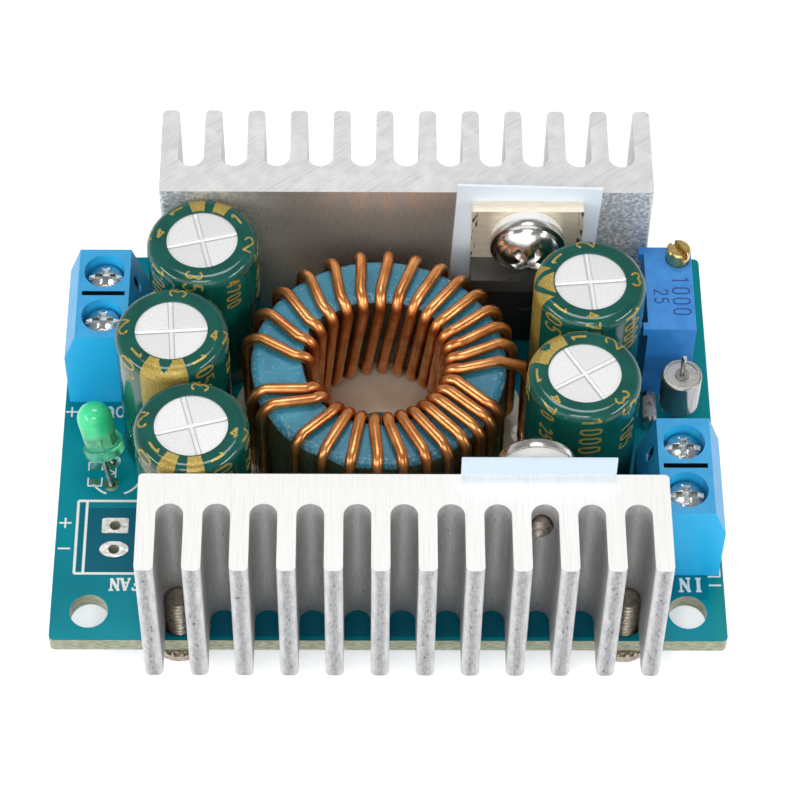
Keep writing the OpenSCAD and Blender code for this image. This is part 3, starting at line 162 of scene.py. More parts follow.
floor_size = 3.0
floor_mesh = bpy.data.meshes.new("floor")
floor_mesh.from_pydata(
    [(x * floor_size, y * floor_size, cad_box[0][2]) for x, y in ((-1, -1), (1, -1), (1, 1), (-1, 1))],
    [], [(0, 1, 2, 3)],
)
floor = bpy.data.objects.new("floor", floor_mesh)
bpy.context.scene.collection.objects.link(floor)
paper = Finish("white_paper", {"Base Color": (0.85, 0.85, 0.85, 1), "Roughness": 0.9})
seen = paper.node("LightPath", {})
straight = paper.math("MAXIMUM", seen.outputs["Is Camera Ray"], seen.outputs["Is Glossy Ray"])
shown = paper.math("MAXIMUM", straight, seen.outputs["Is Transmission Ray"])
paper.set("Emission Color", (1, 1, 1, 1))
paper.set("Emission Strength", paper.times(shown, 0.45))
floor_mesh.materials.append(paper.material)

world = bpy.data.worlds.new("tent")
bpy.context.scene.world = world
world.use_nodes = True
world_nodes = world.node_tree.nodes
world_links = world.node_tree.links
sky_height = world_nodes.new("ShaderNodeSeparateXYZ")
sky_level = world_nodes.new("ShaderNodeMapRange")
for name, value in (("From Min", 0.12), ("From Max", 0.5), ("To Min", 0.7), ("To Max", 0.3)):
    sky_level.inputs[name].default_value = value
world_links.new(world_nodes.new("ShaderNodeTexCoord").outputs["Generated"], sky_height.inputs[0])
world_links.new(sky_height.outputs["Z"], sky_level.inputs["Value"])
world_links.new(sky_level.outputs["Result"], world_nodes["Background"].inputs["Strength"])
world_nodes["Background"].inputs["Color"].default_value = (1, 1, 1, 1)


def soft_box(name, place, wide, high, watts):
    """A lit panel that faces the object."""
    lamp = bpy.data.lights.new(name, "AREA")
    lamp.shape = "RECTANGLE"
    lamp.size = wide
    lamp.size_y = high
    lamp.energy = watts
    box = bpy.data.objects.new(name, lamp)
    box.location = place
    box.rotation_euler = (-Vector(place)).to_track_quat("-Z", "Y").to_euler()
    bpy.context.scene.collection.objects.link(box)


soft_box("top_box", (0.0, 0.2, 0.58), 0.26, 0.18, 0.9)
soft_box("key_box", (-0.04, -0.36, 0.5), 0.26, 0.14, 0.8)
soft_box("left_box", (-0.5, -0.2, 0.3), 0.34, 0.05, 0.9)
soft_box("right_box", (0.5, -0.2, 0.3), 0.34, 0.05, 0.9)
soft_box("front_box", (-0.15, -0.5, 0.3), 0.9, 0.36, 1.35)

camera_place = Vector((-2.02, -160.53, 231.61)) * MM
camera_turn = math.radians(1.088)
camera_dip = math.radians(54.31)
camera_roll = math.radians(1.048)
focal_px = 3036.4
image_px = 800
look = Vector((
    math.sin(camera_turn) * math.cos(camera_dip),
    math.cos(camera_turn) * math.cos(camera_dip),
    -math.sin(camera_dip),
))
level = Vector((math.cos(camera_turn), -math.sin(camera_turn), 0))
upright = level.cross(look)
across = math.cos(camera_roll) * level + math.sin(camera_roll) * upright
above = math.cos(camera_roll) * upright - math.sin(camera_roll) * level
camera_data = bpy.data.cameras.new("camera")
camera_data.sensor_width = 36
camera_data.lens = focal_px / image_px * camera_data.sensor_width
camera_data.clip_start = 0.01
camera = bpy.data.objects.new("camera", camera_data)
camera.matrix_world = Matrix.Translation(camera_place) @ Matrix((across, above, -look)).transposed().to_4x4()
bpy.context.scene.collection.objects.link(camera)
bpy.context.scene.camera = camera
bpy.context.scene.view_settings.view_transform = "Standard"


# Circuit board: woven glass laminate with a teal solder mask on both faces. The routed edges and the
# drilled holes show the bare pale laminate.
def break_edges(piece, width):
    """Rounds a piece's sharp edges by that many millimetres."""
    weld = piece.modifiers.new("weld", "WELD")
    weld.merge_threshold = 0.001 * MM
    edges = piece.modifiers.new("edges", "BEVEL")
    edges.width = width * MM
    edges.segments = 2
    edges.limit_method = "ANGLE"
    edges.angle_limit = math.radians(35)


def dress(names, finish, edge=0):
    """Gives CAD pieces their finish, and rounds their edges where a width is given."""
    for name in names:
        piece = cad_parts[name]
        for slot in piece.material_slots:
            slot.material = finish.material
        if edge:
            break_edges(piece, edge)


half_w, half_d, board_top = (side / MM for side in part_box("circuit_board")[1])
strip_w = 1.1
mask = Finish("solder_mask", {"Roughness": 0.2, "Specular IOR Level": 0.12})
cloud = mask.grain(9.0, detail=2.0)
weave = mask.grain(0.35)
teal = mask.ramp(cloud, [(0.3, (0.0, 0.19, 0.245)), (0.5, (0.0, 0.24, 0.3)), (0.72, (0.002, 0.28, 0.34))])
bare_strip = mask.over(mask.place_part("X"), (half_w - strip_w) * MM)
covered = mask.mix(bare_strip, teal, (0.004, 0.25, 0.26, 1))
# fields where the mask is painted darker: left, right, front and rear edge on the board, and how dark the
# mask is there. The last field, under the front heatsink's fins, is painted shade.
darker_mask_fields = [(2.75, 9.6, 7.1, 14.0, 1.0), (2.05, 2.45, 7.2, 14.5, 0.8),
             (53.0, 58.6, 4.3, 6.9, 0.45), (8.5, 51.5, 0.4, 6.2, 1.0)]
for left, right, near, far, share in darker_mask_fields:
    in_x = mask.within(mask.place_part("X"), (left + right) / 2 - half_w, (right - left) / 2)
    in_y = mask.within(mask.place_part("Y"), (near + far) / 2 - half_d, (far - near) / 2)
    covered = mask.mix(mask.times(in_x, in_y, share), covered, (0.002, 0.12, 0.18, 1))
fibre = mask.ramp(
    mask.grain(0.12, stretch=(6, 6, 1)),
    [(0.3, (0.19, 0.21, 0.13)), (0.5, (0.34, 0.36, 0.25)), (0.7, (0.52, 0.53, 0.43))],
)
flat_face = mask.over(mask.size(mask.normal_part("Z")), 0.5)
mask.set("Base Color", mask.mix(flat_face, fibre, covered))
mask.bump(weave, 0.004)
dress(["circuit_board"], mask)


# Printing and pads on the board: white ink strokes for the outlines and function marks, and tinned
# copper pads round the holes.
def on_board(x, y):
    """A place given from the board's left and front edges, in the part's own millimetres."""
    return x - half_w, y - half_d


def add_piece(name, mesh, finish):
    """A piece that is only in the scene and rides on the module."""
    mesh.materials.append(finish.material)
    piece = bpy.data.objects.new(name, mesh)
    bpy.context.scene.collection.objects.link(piece)
    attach(piece, "module")
    return piece


def round_off(mesh):
    """Smooth shading that keeps the sharp edges sharp."""
    mesh.polygons.foreach_set("use_smooth", [True] * len(mesh.polygons))
    mesh.set_sharp_from_angle(angle=math.radians(38))


def mesh_of(name, points, faces, smooth=False):
    """A mesh from points in millimetres."""
    mesh = bpy.data.meshes.new(name)
    mesh.from_pydata([Vector(p) * MM for p in points], [], faces)
    mesh.validate()
    if smooth:
        round_off(mesh)
    return mesh


class Ink:
    """Closed flat strokes on a surface, which is a function of two places along it and a height over it."""

    sink, rise, layer = 0.01, 0.02, 0.0015

    def __init__(self, surface):
        self.surface = surface
        self.points = []
        self.faces = []
        self.strokes = 0

    def bar(self, start, end, width, steps=1):
        """One stroke. Those that cross lie at slightly different heights."""
        a, b = Vector(start), Vector(end)
        along = (b - a).normalized()
        side = Vector((-along.y, along.x)) * width / 2
        first = len(self.points)
        top = self.rise + self.layer * (self.strokes % 5)
        self.strokes += 1
        for step in range(steps + 1):
            middle = a.lerp(b, step / steps)
            for edge, height in ((-1, -self.sink), (1, -self.sink), (1, top), (-1, top)):
                place = middle + edge * side
                self.points.append(self.surface(place.x, place.y, height))
        for step in range(steps):
            row = first + 4 * step
            for i in range(4):
                j = (i + 1) % 4
                self.faces.append((row + i, row + 4 + i, row + 4 + j, row + j))
        last = first + 4 * steps
        self.faces += [tuple(first + i for i in range(4)), tuple(last + i for i in (3, 2, 1, 0))]

    def line(self, corners, width, steps=1):
        for start, end in zip(corners, corners[1:]):
            self.bar(start, end, width, steps)

    def arc(self, centre, radius, start, end, width, steps=24):
        turn = [math.radians(start + (end - start) * i / steps) for i in range(steps + 1)]
        places = [(centre[0] + radius * math.cos(a), centre[1] + radius * math.sin(a)) for a in turn]
        self.line(places, width)

    def letter(self, strokes, origin, height, narrow):
        """Strokes in units of the letter's height, turned half round as seen from the front."""
        for x0, y0, x1, y1, width in strokes:
            start = (origin[0] - x0 * height * narrow, origin[1] - y0 * height)
            end = (origin[0] - x1 * height * narrow, origin[1] - y1 * height)
            self.bar(start, end, width * height)

    def mesh(self, name):
        return mesh_of(name, self.points, self.faces)


THICK, THIN = 0.22, 0.13
oval = [(0.4 + 0.32 * math.sin(a * math.pi / 8), 0.5 + 0.44 * math.cos(a * math.pi / 8)) for a in range(17)]
LETTERS = {
    "I": [(0.3, 0, 0.3, 1, THICK), (0.1, 0.04, 0.5, 0.04, THIN), (0.1, 0.96, 0.5, 0.96, THIN)],
    "N": [(0.15, 0, 0.15, 1, THIN), (0.12, 0.96, 0.72, 0.04, THICK), (0.7, 0, 0.7, 1, THIN),
          (0, 0.04, 0.32, 0.04, THIN), (0, 0.96, 0.25, 0.96, THIN), (0.52, 0.96, 0.88, 0.96, THIN)],
    "F": [(0.2, 0, 0.2, 1, THICK), (0.05, 0.04, 0.4, 0.04, THIN), (0.05, 0.95, 0.72, 0.95, THIN),
          (0.2, 0.52, 0.55, 0.52, THIN), (0.7, 0.95, 0.7, 0.76, THIN), (0.53, 0.64, 0.53, 0.4, THIN)],
    "A": [(0.12, 0.04, 0.42, 1, THIN), (0.42, 1, 0.74, 0.04, THICK), (0.24, 0.36, 0.62, 0.36, THIN),
          (0, 0.04, 0.27, 0.04, THIN), (0.57, 0.04, 0.88, 0.04, THIN)],
    "U": [(0.2, 1, 0.2, 0.3, THICK), (0.2, 0.3, 0.42, 0.05, THICK), (0.42, 0.05, 0.68, 0.3, THIN),
          (0.68, 0.3, 0.68, 1, THIN), (0.03, 0.96, 0.37, 0.96, THIN), (0.54, 0.96, 0.82, 0.96, THIN)],
    "T": [(0.4, 0, 0.4, 1, THICK), (0.2, 0.04, 0.6, 0.04, THIN), (0.03, 0.95, 0.77, 0.95, THIN),
          (0.06, 0.95, 0.06, 0.74, THIN), (0.74, 0.95, 0.74, 0.74, THIN)],
    "O": [(*a, *b, 0.15) for a, b in zip(oval, oval[1:])],
}

print_ink = Ink(lambda x, y, height: (x, y, board_top + height))
header_left, header_key, header_right = 1.85, 2.65, 9.4
header_near, header_far = 6.95, 14.75
outline_w = 0.24
header = [(header_right, header_far), (header_left, header_far),
          (header_left, header_near), (header_right, header_near)]
print_ink.line([on_board(*corner) for corner in header], outline_w)
print_ink.bar(on_board(header_key, header_far), on_board(header_key, header_near), outline_w)
sign_arm, sign_w = 0.55, 0.16
for x, y, plus in ((0.78, 12.35, True), (0.81, 9.6, False), (0.66, 24.68, True), (59.22, 5.83, False)):
    print_ink.bar(on_board(x - sign_arm, y), on_board(x + sign_arm, y), sign_w)
    if plus:
        print_ink.bar(on_board(x, y - sign_arm), on_board(x, y + sign_arm), sign_w)
letter_narrow, letter_step = 0.85, 0.74
words = [("FAN", 7.95, 5.15, 1.3), ("IN", 58.1, 5.15, 1.45), ("OUT", 5.6, 24.05, 1.3)]
for word, right_x, y, height in words:
    for i, character in enumerate(word):
        x, base_y = on_board(right_x - i * letter_step * height, y)
        print_ink.letter(LETTERS[character], (x, base_y + height), height, letter_narrow)
lamp_ring_r, lamp_ring_w = 2.35, 0.18
for start, end in ((-70, 25), (200, 250)):
    print_ink.arc(on_board(5.12, 17.78), lamp_ring_r, start, end, lamp_ring_w)
chip_x, chip_rear, chip_front = 3.2, 18.55, 16.85
bracket_half, bracket_depth, bracket_w = 0.62, 0.45, 0.14
for y, opening in ((chip_rear, -bracket_depth), (chip_front, bracket_depth)):
    left, right = chip_x - bracket_half, chip_x + bracket_half
    bracket = [(left, y + opening), (left, y - opening), (right, y - opening), (right, y + opening)]
    print_ink.line([on_board(*corner) for corner in bracket], bracket_w)
arrow_w = 0.12
arrow = [(4.2, 17.35), (4.2, 18.35), (5.0, 17.85), (4.2, 17.35)]
print_ink.line([on_board(*corner) for corner in arrow], arrow_w)
print_ink.bar(on_board(5.05, 17.3), on_board(5.05, 18.4), arrow_w)
block_corner = [(58.6, 6.75), (59.72, 6.75), (59.72, 9.2)]
print_ink.line([on_board(*corner) for corner in block_corner], 0.15)
ink = Finish("white_ink", {"Roughness": 0.55})
ink.tone(ink.grain(0.15), (0.74, 0.77, 0.75), (0.88, 0.89, 0.86), end=0.6)
add_piece("board_marks", print_ink.mesh("board_marks"), ink)

tin = Finish("tinned_copper", {"Metallic": 1.0, "Roughness": 0.28})
tin_spots = tin.grain(0.4)
tin.tone(tin_spots, (0.44, 0.44, 0.41), (0.66, 0.65, 0.62))
tin.bump(tin_spots, 0.02)


def flat_ring(centre, reach, hole_r, low, high, steps=48):
    """A flat ring from low to high round a hole. Its rim lies at reach(angle)."""
    points, faces = [], []
    for z, inner in ((low, True), (low, False), (high, False), (high, True)):
        for i in range(steps):
            a = 2 * math.pi * i / steps
            radius = hole_r if inner else reach(a)
            points.append((centre[0] + radius * math.cos(a), centre[1] + radius * math.sin(a), z))
    for ring in range(4):
        for i in range(steps):
            j = (i + 1) % steps
            below, over = ring * steps, (ring + 1) % 4 * steps
            faces.append((below + i, below + j, over + j, over + i))
    return points, faces


def oblong(half_x, half_y):
    """A rectangle's rim, for flat_ring."""
    return lambda a: min(half_x / max(abs(math.cos(a)), 1e-6), half_y / max(abs(math.sin(a)), 1e-6))


def oval_rim(half_x, half_y):
    """An oval's rim, for flat_ring."""
    return lambda a: 1 / math.hypot(math.cos(a) / half_x, math.sin(a) / half_y)


def join_parts(parts):
    """Several shapes as one list of points and one of faces."""
    points, faces = [], []
    for part_points, part_faces in parts:
        faces += [tuple(i + len(points) for i in face) for face in part_faces]
        points += part_points
    return points, faces


def middle_of(name):
    """The middle of a CAD piece's box, in metres."""
    low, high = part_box(name)
    return [(a + b) / 2 for a, b in zip(low, high)]


pad_z = (board_top - 0.01, board_top + 0.035)
fan_x, fan_hole_r = 5.3, 0.5
lamp_x, lamp_pad_r, lamp_hole_r = 4.72, 0.75, 0.36
pads = [flat_ring(on_board(fan_x, 12.07), oblong(1.2, 0.82), fan_hole_r, *pad_z),
        flat_ring(on_board(fan_x, 9.53), oval_rim(1.3, 0.85), fan_hole_r, *pad_z)]
lamp_pad = oval_rim(lamp_pad_r, lamp_pad_r)
pads += [flat_ring(on_board(lamp_x, y), lamp_pad, lamp_hole_r, *pad_z) for y in (16.56, 19.1)]
pads += [flat_ring(on_board(chip_x, y), oblong(0.42, 0.28), 0.02, *pad_z) for y in (chip_rear, chip_front)]
add_piece("board_pads", mesh_of("board_pads", *join_parts(pads)), tin)
coil_x, coil_y = (place / MM for place in middle_of("coil_core")[:2])
seat_r, seat_hole_r = 13.7, 2.25
seat_z = (board_top - 0.01, board_top + 0.02)
seat = flat_ring((coil_x, coil_y), oval_rim(seat_r, seat_r), seat_hole_r, *seat_z, steps=96)
cream = Finish("cream_ink", {"Roughness": 0.5})
cream.tone(cream.grain(2.0), (0.64, 0.59, 0.46), (0.78, 0.73, 0.6))
add_piece("coil_seat", mesh_of("coil_seat", *seat), cream)


# Heatsinks: one aluminium extrusion sawn to length, left bare. The sawn ends are bright with fine saw
# lines, and the front one is painted lighter than the rear one as a painted sheen. The extruded walls are
# drawn along their length and the fin tips are pitted, with a painted highlight along their rounded edges.
# The rear one's inner face has a warm painted reflection of the coil, and dust with white painted glints
# lies on its ends.
tip_start = 24.6 * MM
dust_start, dust_full = 9 * MM, 19 * MM
fin_pitch = 3.95 * MM
aluminium = Finish("bare_aluminium", {})
front_lines = aluminium.grain(0.07, stretch=(1, 60, 1))
rear_lines = aluminium.grain(0.09, stretch=(1, 40, 1), turn=(0, 0, math.radians(-52)))
saw_patches = aluminium.grain(1.4, detail=5.0)
draw_lines = aluminium.grain(0.14, stretch=(1, 1, 7), detail=5.0)
pit_spots = aluminium.grain(0.2, stretch=(1, 1, 2.6), detail=6.0)
dark_specks = aluminium.grain(0.35, stretch=(1, 1, 1.5), detail=1.0)
upward = aluminium.size(aluminium.normal_part("Z"))
sawn = aluminium.over(upward, 0.7)
in_front = aluminium.under(aluminium.place_part("Y"), 0)
outward = aluminium.size(aluminium.place_part("Y"))
tip = aluminium.over(outward, tip_start)
# the front sawn end is painted lighter than the rear one: a painted sheen
front_sawn_painted_sheen = aluminium.ramp(front_lines, [(0.25, (0.74, 0.735, 0.72)), (0.5, (0.86, 0.855, 0.835))])
rear_sawn = aluminium.ramp(rear_lines, [(0.3, (0.56, 0.56, 0.56)), (0.55, (0.7, 0.7, 0.695))])
worn_share = aluminium.ramp(saw_patches, [(0.45, (0, 0, 0)), (0.7, (1, 1, 1))])
rear_worn = aluminium.mix(worn_share, rear_sawn, (0.76, 0.76, 0.75, 1))
drawn_colour = aluminium.ramp(draw_lines, [(0.3, (0.42, 0.42, 0.415)), (0.7, (0.53, 0.53, 0.525))])
specks = aluminium.under(dark_specks, 0.22)
slot_colour = aluminium.mix(specks, drawn_colour, (0.06, 0.06, 0.06, 1))
toward_coil = aluminium.under(aluminium.normal_part("Y"), -0.5)
off_centre = aluminium.size(aluminium.place_part("X"))
dust_and_glints = aluminium.times(toward_coil, aluminium.span(off_centre, dust_start, dust_full))
# the rear heatsink's face toward the coil is painted a warmer, lighter grey: a painted reflection of the
# coil
coil_face_warm_reflection = aluminium.ramp(draw_lines, [(0.3, (0.62, 0.57, 0.51)), (0.7, (0.76, 0.71, 0.65))])
# dust specks with white painted glints and a cool painted reflection on the ends of that face
dust_and_glint_colour = aluminium.ramp(
    aluminium.grain(0.3, detail=3.0),
    [(0.32, (0.36, 0.38, 0.4)), (0.52, (0.6, 0.63, 0.66)), (0.66, (0.92, 0.92, 0.92))],
)
plain_colour = aluminium.mix(toward_coil, drawn_colour, coil_face_warm_reflection)
face_colour = aluminium.mix(dust_and_glints, plain_colour, dust_and_glint_colour)
wall_colour = aluminium.mix(in_front, face_colour, slot_colour)
pitted_colour = aluminium.ramp(
    pit_spots, [(0.3, (0.03, 0.03, 0.03)), (0.36, (0.29, 0.29, 0.3)), (0.62, (0.41, 0.41, 0.42))]
)
fin_middles = [middle_of(name)[0] + fin_pitch / 2 for name in ("rear_heatsink", "front_heatsink")]
fin_middle = aluminium.blend(in_front, *fin_middles)
fin_place = aluminium.minus(aluminium.place_part("X"), fin_middle)
from_middle = aluminium.math("PINGPONG", fin_place, fin_pitch / 2)
uneven = aluminium.times(aluminium.grain(0.5, stretch=(1, 1, 4)), 0.7 * MM)
edge_place = aluminium.math("ADD", from_middle, uneven)
# painted highlight along the rounded edges of the fin tips
tip_edge_highlight = aluminium.span(edge_place, 0.5 * MM, 1.15 * MM, end=0.85)
tip_colour = aluminium.mix(tip_edge_highlight, pitted_colour, (0.8, 0.8, 0.81, 1))
side_colour = aluminium.mix(tip, wall_colour, tip_colour)
sawn_colour = aluminium.mix(in_front, rear_worn, front_sawn_painted_sheen)
aluminium.set("Base Color", aluminium.mix(sawn, side_colour, sawn_colour))
wall_metal = aluminium.blend(in_front, aluminium.blend(dust_and_glints, 0.75, 0.4), 0.55)
wall_rough = aluminium.blend(in_front, aluminium.blend(dust_and_glints, 0.32, 0.5), 0.58)
aluminium.set("Metallic", aluminium.blend(sawn, wall_metal, 0.25))
aluminium.set("Roughness", aluminium.blend(sawn, wall_rough, 0.5))
saw_height = aluminium.mix(in_front, rear_lines, front_lines)
side_height = aluminium.mix(tip, draw_lines, pit_spots)
aluminium.bump(aluminium.mix(sawn, side_height, saw_height), 0.012)
dress(["front_heatsink", "rear_heatsink"], aluminium, 0.09)


# Heatsink screws: four dull plated steel screws that cut their thread into the end slots, with a
# domed cross-slotted head and a toothed washer under the board.
def lathe(profile, steps=48):
    """A turned solid on the z axis, from points of radius and height that start and end on the axis."""
    points, faces, rings = [], [], []
    for radius, height in profile:
        count = 1 if radius < 1e-9 else steps
        rings.append((len(points), count))
        for i in range(count):
            a = 2 * math.pi * i / steps
            points.append((radius * math.cos(a), radius * math.sin(a), height))
    for (low, low_n), (high, high_n) in zip(rings, rings[1:]):
        for i in range(steps):
            j = (i + 1) % steps
            face = [low + i % low_n, low + j % low_n, high + j % high_n, high + i % high_n]
            faces.append(tuple(dict.fromkeys(face)))
    return points, faces


def moved(part, place):
    """A shape, put in its place."""
    points, faces = part
    return [tuple(Vector(p) + Vector(place)) for p in points], faces


def cut_away(piece, cutter_mesh):
    """Cuts a closed shape out of a piece for good."""
    cutter = bpy.data.objects.new("cutter", cutter_mesh)
    bpy.context.scene.collection.objects.link(cutter)
    cut = piece.modifiers.new("cut", "BOOLEAN")
    cut.operation = "DIFFERENCE"
    cut.solver = "EXACT"
    cut.use_self = True
    cut.object = cutter
    bpy.context.view_layer.update()
    result = bpy.data.meshes.new_from_object(piece.evaluated_get(bpy.context.evaluated_depsgraph_get()))
    piece.modifiers.clear()
    piece.data = result
    round_off(result)
    bpy.data.objects.remove(cutter)


def skin(rings):
    """A closed skin over rings of as many points each, with a flat face at both ends."""
    count = len(rings[0])
    points = [point for ring in rings for point in ring]
    last = len(points) - count
    faces = []
    for row in range(0, last, count):
        for i in range(count):
            a, b = row + i, row + (i + 1) % count
            faces.append((a, b, b + count, a + count))
    faces.append(tuple(range(count - 1, -1, -1)))
    faces.append(tuple(range(last, len(points))))
    return points, faces


def cross_cutter(places, span, width, low, high, narrow=0.6):
    """Crossed wedges, wide at the surface and narrow below, as a driver's tip leaves them."""
    parts = []
    for place in places:
        for turn in (0, 90):
            a = math.radians(turn + 12)
            along = Vector((math.cos(a), math.sin(a)))
            side = Vector((-along.y, along.x))
            rings = []
            for z, share in ((low, 1.0), (high, narrow)):
                rings.append([])
                for u, v in ((-1, -1), (1, -1), (1, 1), (-1, 1)):
                    p = along * u * span * share / 2 + side * v * width * share / 2
                    rings[-1].append((place[0] + p.x, place[1] + p.y, z))
            parts.append(skin(rings))
    return mesh_of("cross", *join_parts(parts))


def thread(core_r, crest_r, pitch, low, high, around=40, per_turn=14):
    """A screw thread as one skin from low to high, closed at its ends."""
    flank, run_out = 0.36, 0.25
    rows = int((high - low) / pitch * per_turn)
    points, faces = [(0, 0, low)], []
    for row in range(rows + 1):
        z = low + (high - low) * row / rows
        for i in range(around):
            phase = (z / pitch - i / around) % 1.0
            ridge = max(0.0, 1 - abs(phase - 0.5) / flank)
            near_end = min(1.0, 0.4 + (high - z) / run_out)
            radius = core_r + (crest_r - core_r) * min(ridge * 1.2, 1.0) * near_end
            a = 2 * math.pi * i / around
            points.append((radius * math.cos(a), radius * math.sin(a), z))
    for row in range(rows):
        for i in range(around):
            a, b = 1 + row * around + i, 1 + row * around + (i + 1) % around
            faces.append((a, b, b + around, a + around))
    points.append((0, 0, high))
    last = 1 + rows * around
    faces += [(0, 1 + (i + 1) % around, 1 + i) for i in range(around)]
    faces += [(last + i, last + (i + 1) % around, len(points) - 1) for i in range(around)]
    return points, faces


screw_low, screw_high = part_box("heatsink_screws")
head_r, dome_share, head_edge = 2.45, 0.68, 0.05
thread_core_r, thread_crest_r, thread_pitch = 0.84, 1.17, 0.5
cross_span, cross_w, cross_depth = 2.7, 0.62, 0.9
foot_inset = 2.775
washer_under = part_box("heatsink_washers")[0][2] / MM
head_under = screw_low[2] / MM
screw_tip = screw_high[2] / MM
front_row, rear_row = screw_low[1] / MM + head_r, screw_high[1] / MM - head_r
feet = []
for name, y in (("front_heatsink", front_row), ("rear_heatsink", rear_row)):
    left, right = (side[0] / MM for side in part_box(name))
    feet += [(left + foot_inset, y), (right - foot_inset, y)]
dome_h = (washer_under - head_under) * dome_share
dome_steps = [math.pi / 2 * i / 8 for i in range(9)]
head_profile = [(head_r * math.sin(a), head_under + dome_h * (1 - math.cos(a))) for a in dome_steps]
head_profile += [(head_r, washer_under - head_edge), (head_r - head_edge, washer_under), (0, washer_under)]
plated = Finish("dull_plate", {"Metallic": 1.0, "Roughness": 0.36})
plated_spots = plated.grain(0.5, detail=5.0)
plated.tone(plated_spots, (0.24, 0.2, 0.16), (0.52, 0.47, 0.4))
plated.bump(plated_spots, 0.008)
shank = thread(thread_core_r, thread_crest_r, thread_pitch, washer_under + 0.01, screw_tip)
screw_parts = []
for place in feet:
    screw_parts.append(moved(lathe(head_profile), (*place, 0)))
    screw_parts.append(moved(shank, (*place, 0)))
foot_screws = mesh_of("foot_screws", *join_parts(screw_parts), True)
foot_screws = add_piece("foot_screws", foot_screws, plated)
cut_away(foot_screws, cross_cutter(feet, cross_span, cross_w, head_under - 0.1, head_under + cross_depth))
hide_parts("heatsink_screws")

tooth_count, tooth_r, tooth_h = 20, 2.33, 0.12
washer_hole_r, washer_t = 1.25, 0.48


def toothed_rim(a):
    """A washer's rim, for flat_ring."""
    return tooth_r + tooth_h * math.copysign(1, math.sin(tooth_count * a))


washer_z = (washer_under, washer_under + washer_t)
washers = [flat_ring(place, toothed_rim, washer_hole_r, *washer_z, steps=160) for place in feet]
toothed = add_piece("toothed_washers", mesh_of("toothed_washers", *join_parts(washers)), plated)
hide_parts("heatsink_washers")


# Insulating pads and bushes: pale blue silicone sheet with a woven core behind each power package, and
# white nylon bushes in the tab holes.
silicone = Finish("silicone_sheet", {"Roughness": 0.55, "Subsurface Weight": 0.1})
silicone.set("Subsurface Radius", (0.002, 0.002, 0.002))
mesh_pitch = 0.42
ribs = []
for axis in ("X", "Z"):
    phase = silicone.times(silicone.place_part(axis), 2 * math.pi / (mesh_pitch * MM))
    ribs.append(silicone.math("SINE", phase, 0))
woven = silicone.math("MAXIMUM", *ribs)
front_sheet = silicone.ramp(woven, [(0.2, (0.63, 0.74, 0.88)), (0.95, (0.64, 0.75, 0.885))])
# the rear pad is painted lighter than the front one: painted light
rear_sheet_painted_light = silicone.ramp(woven, [(0.2, (0.79, 0.885, 1.0)), (0.95, (0.8, 0.89, 1.0))])
at_rear = silicone.over(silicone.place_part("Y"), 0)
silicone.set("Base Color", silicone.mix(at_rear, front_sheet, rear_sheet_painted_light))
silicone.bump(woven, 0.002, 0.4)
dress(["front_insulator", "rear_insulator"], silicone)
nylon = Finish("white_nylon", {"Roughness": 0.45})
nylon.tone(nylon.grain(0.6), (0.78, 0.78, 0.74), (0.86, 0.86, 0.83))
dress(["insulating_bushes"], nylon, 0.1)


# Power packages: black moulded epoxy on a tinned copper tab with three legs, held by flanged nickel
# screws with a driver's cross. The screws' plain ends come out in the heatsinks' slots.
epoxy = Finish("black_epoxy", {"Roughness": 0.42})
epoxy_grain = epoxy.grain(0.12)
plain_face = epoxy.ramp(epoxy_grain, [(0.3, (0.007, 0.007, 0.007)), (0.7, (0.02, 0.02, 0.021))])
# faces that point up are painted lighter: a painted sheen
top_face_sheen = epoxy.ramp(epoxy_grain, [(0.3, (0.028, 0.027, 0.025)), (0.7, (0.058, 0.057, 0.053))])
facing_up = epoxy.over(epoxy.normal_part("Z"), 0.25)
epoxy.set("Base Color", epoxy.mix(facing_up, plain_face, top_face_sheen))
epoxy.bump(epoxy_grain, 0.015)
dress(["front_device_body", "rear_device_body"], epoxy, 0.15)
dress(["controller_chip"], epoxy, 0.08)
tab_tin = Finish("tinned_tab", {"Metallic": 0.45})
tab_streaks = tab_tin.grain(0.25, stretch=(5, 1, 1), detail=5.0)
tab_colour = tab_tin.ramp(tab_streaks, [(0.3, (0.76, 0.67, 0.52)), (0.7, (0.88, 0.8, 0.66))])
tab_left, tab_right = (side[0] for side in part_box("rear_device_frame"))
tab_middle, rubbed_w = (tab_left + tab_right) / 2, 0.5 * MM
across_tab = tab_tin.size(tab_tin.minus(tab_tin.place_part("X"), tab_middle))
at_edge = tab_tin.over(across_tab, (tab_right - tab_left) / 2 - rubbed_w)
rubbed = tab_tin.over(tab_tin.grain(0.8, stretch=(0.4, 1, 1.4), detail=4.0), 0.56)
front_face = tab_tin.under(tab_tin.normal_part("Y"), -0.5)
nicked = tab_tin.times(at_edge, rubbed, front_face)
tab_tin.set("Base Color", tab_tin.mix(nicked, tab_colour, (0.09, 0.075, 0.06, 1)))
tab_tin.set("Roughness", tab_tin.ramp(tab_streaks, [(0.3, (0.45,) * 3), (0.7, (0.3,) * 3)]))
tab_tin.bump(tab_streaks, 0.012)
dress(["front_device_frame", "rear_device_frame"], tab_tin, 0.08)
dress(["controller_legs", "terminal_contacts"], tab_tin)
nickel = Finish("bright_nickel", {"Metallic": 1.0})
nickel_spots = nickel.grain(0.5, detail=5.0)
nickel.tone(nickel_spots, (0.6, 0.59, 0.57), (0.8, 0.79, 0.77))
nickel.set("Roughness", nickel.ramp(nickel_spots, [(0.3, (0.14,) * 3), (0.7, (0.24,) * 3)]))
dress(["device_screws"], nickel, 0.07)
point_l, point_r = 1.65, 1.16
point_profile = [(0, -0.1), (point_r, -0.1), (point_r, point_l - 0.3), (0.8, point_l - 0.02)]
point_profile += [(0.6, point_l), (0.5, point_l - 0.08), (0, point_l - 0.1)]
screw_spots = [vertex.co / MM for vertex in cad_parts["device_screws"].data.vertices]
screw_points = []
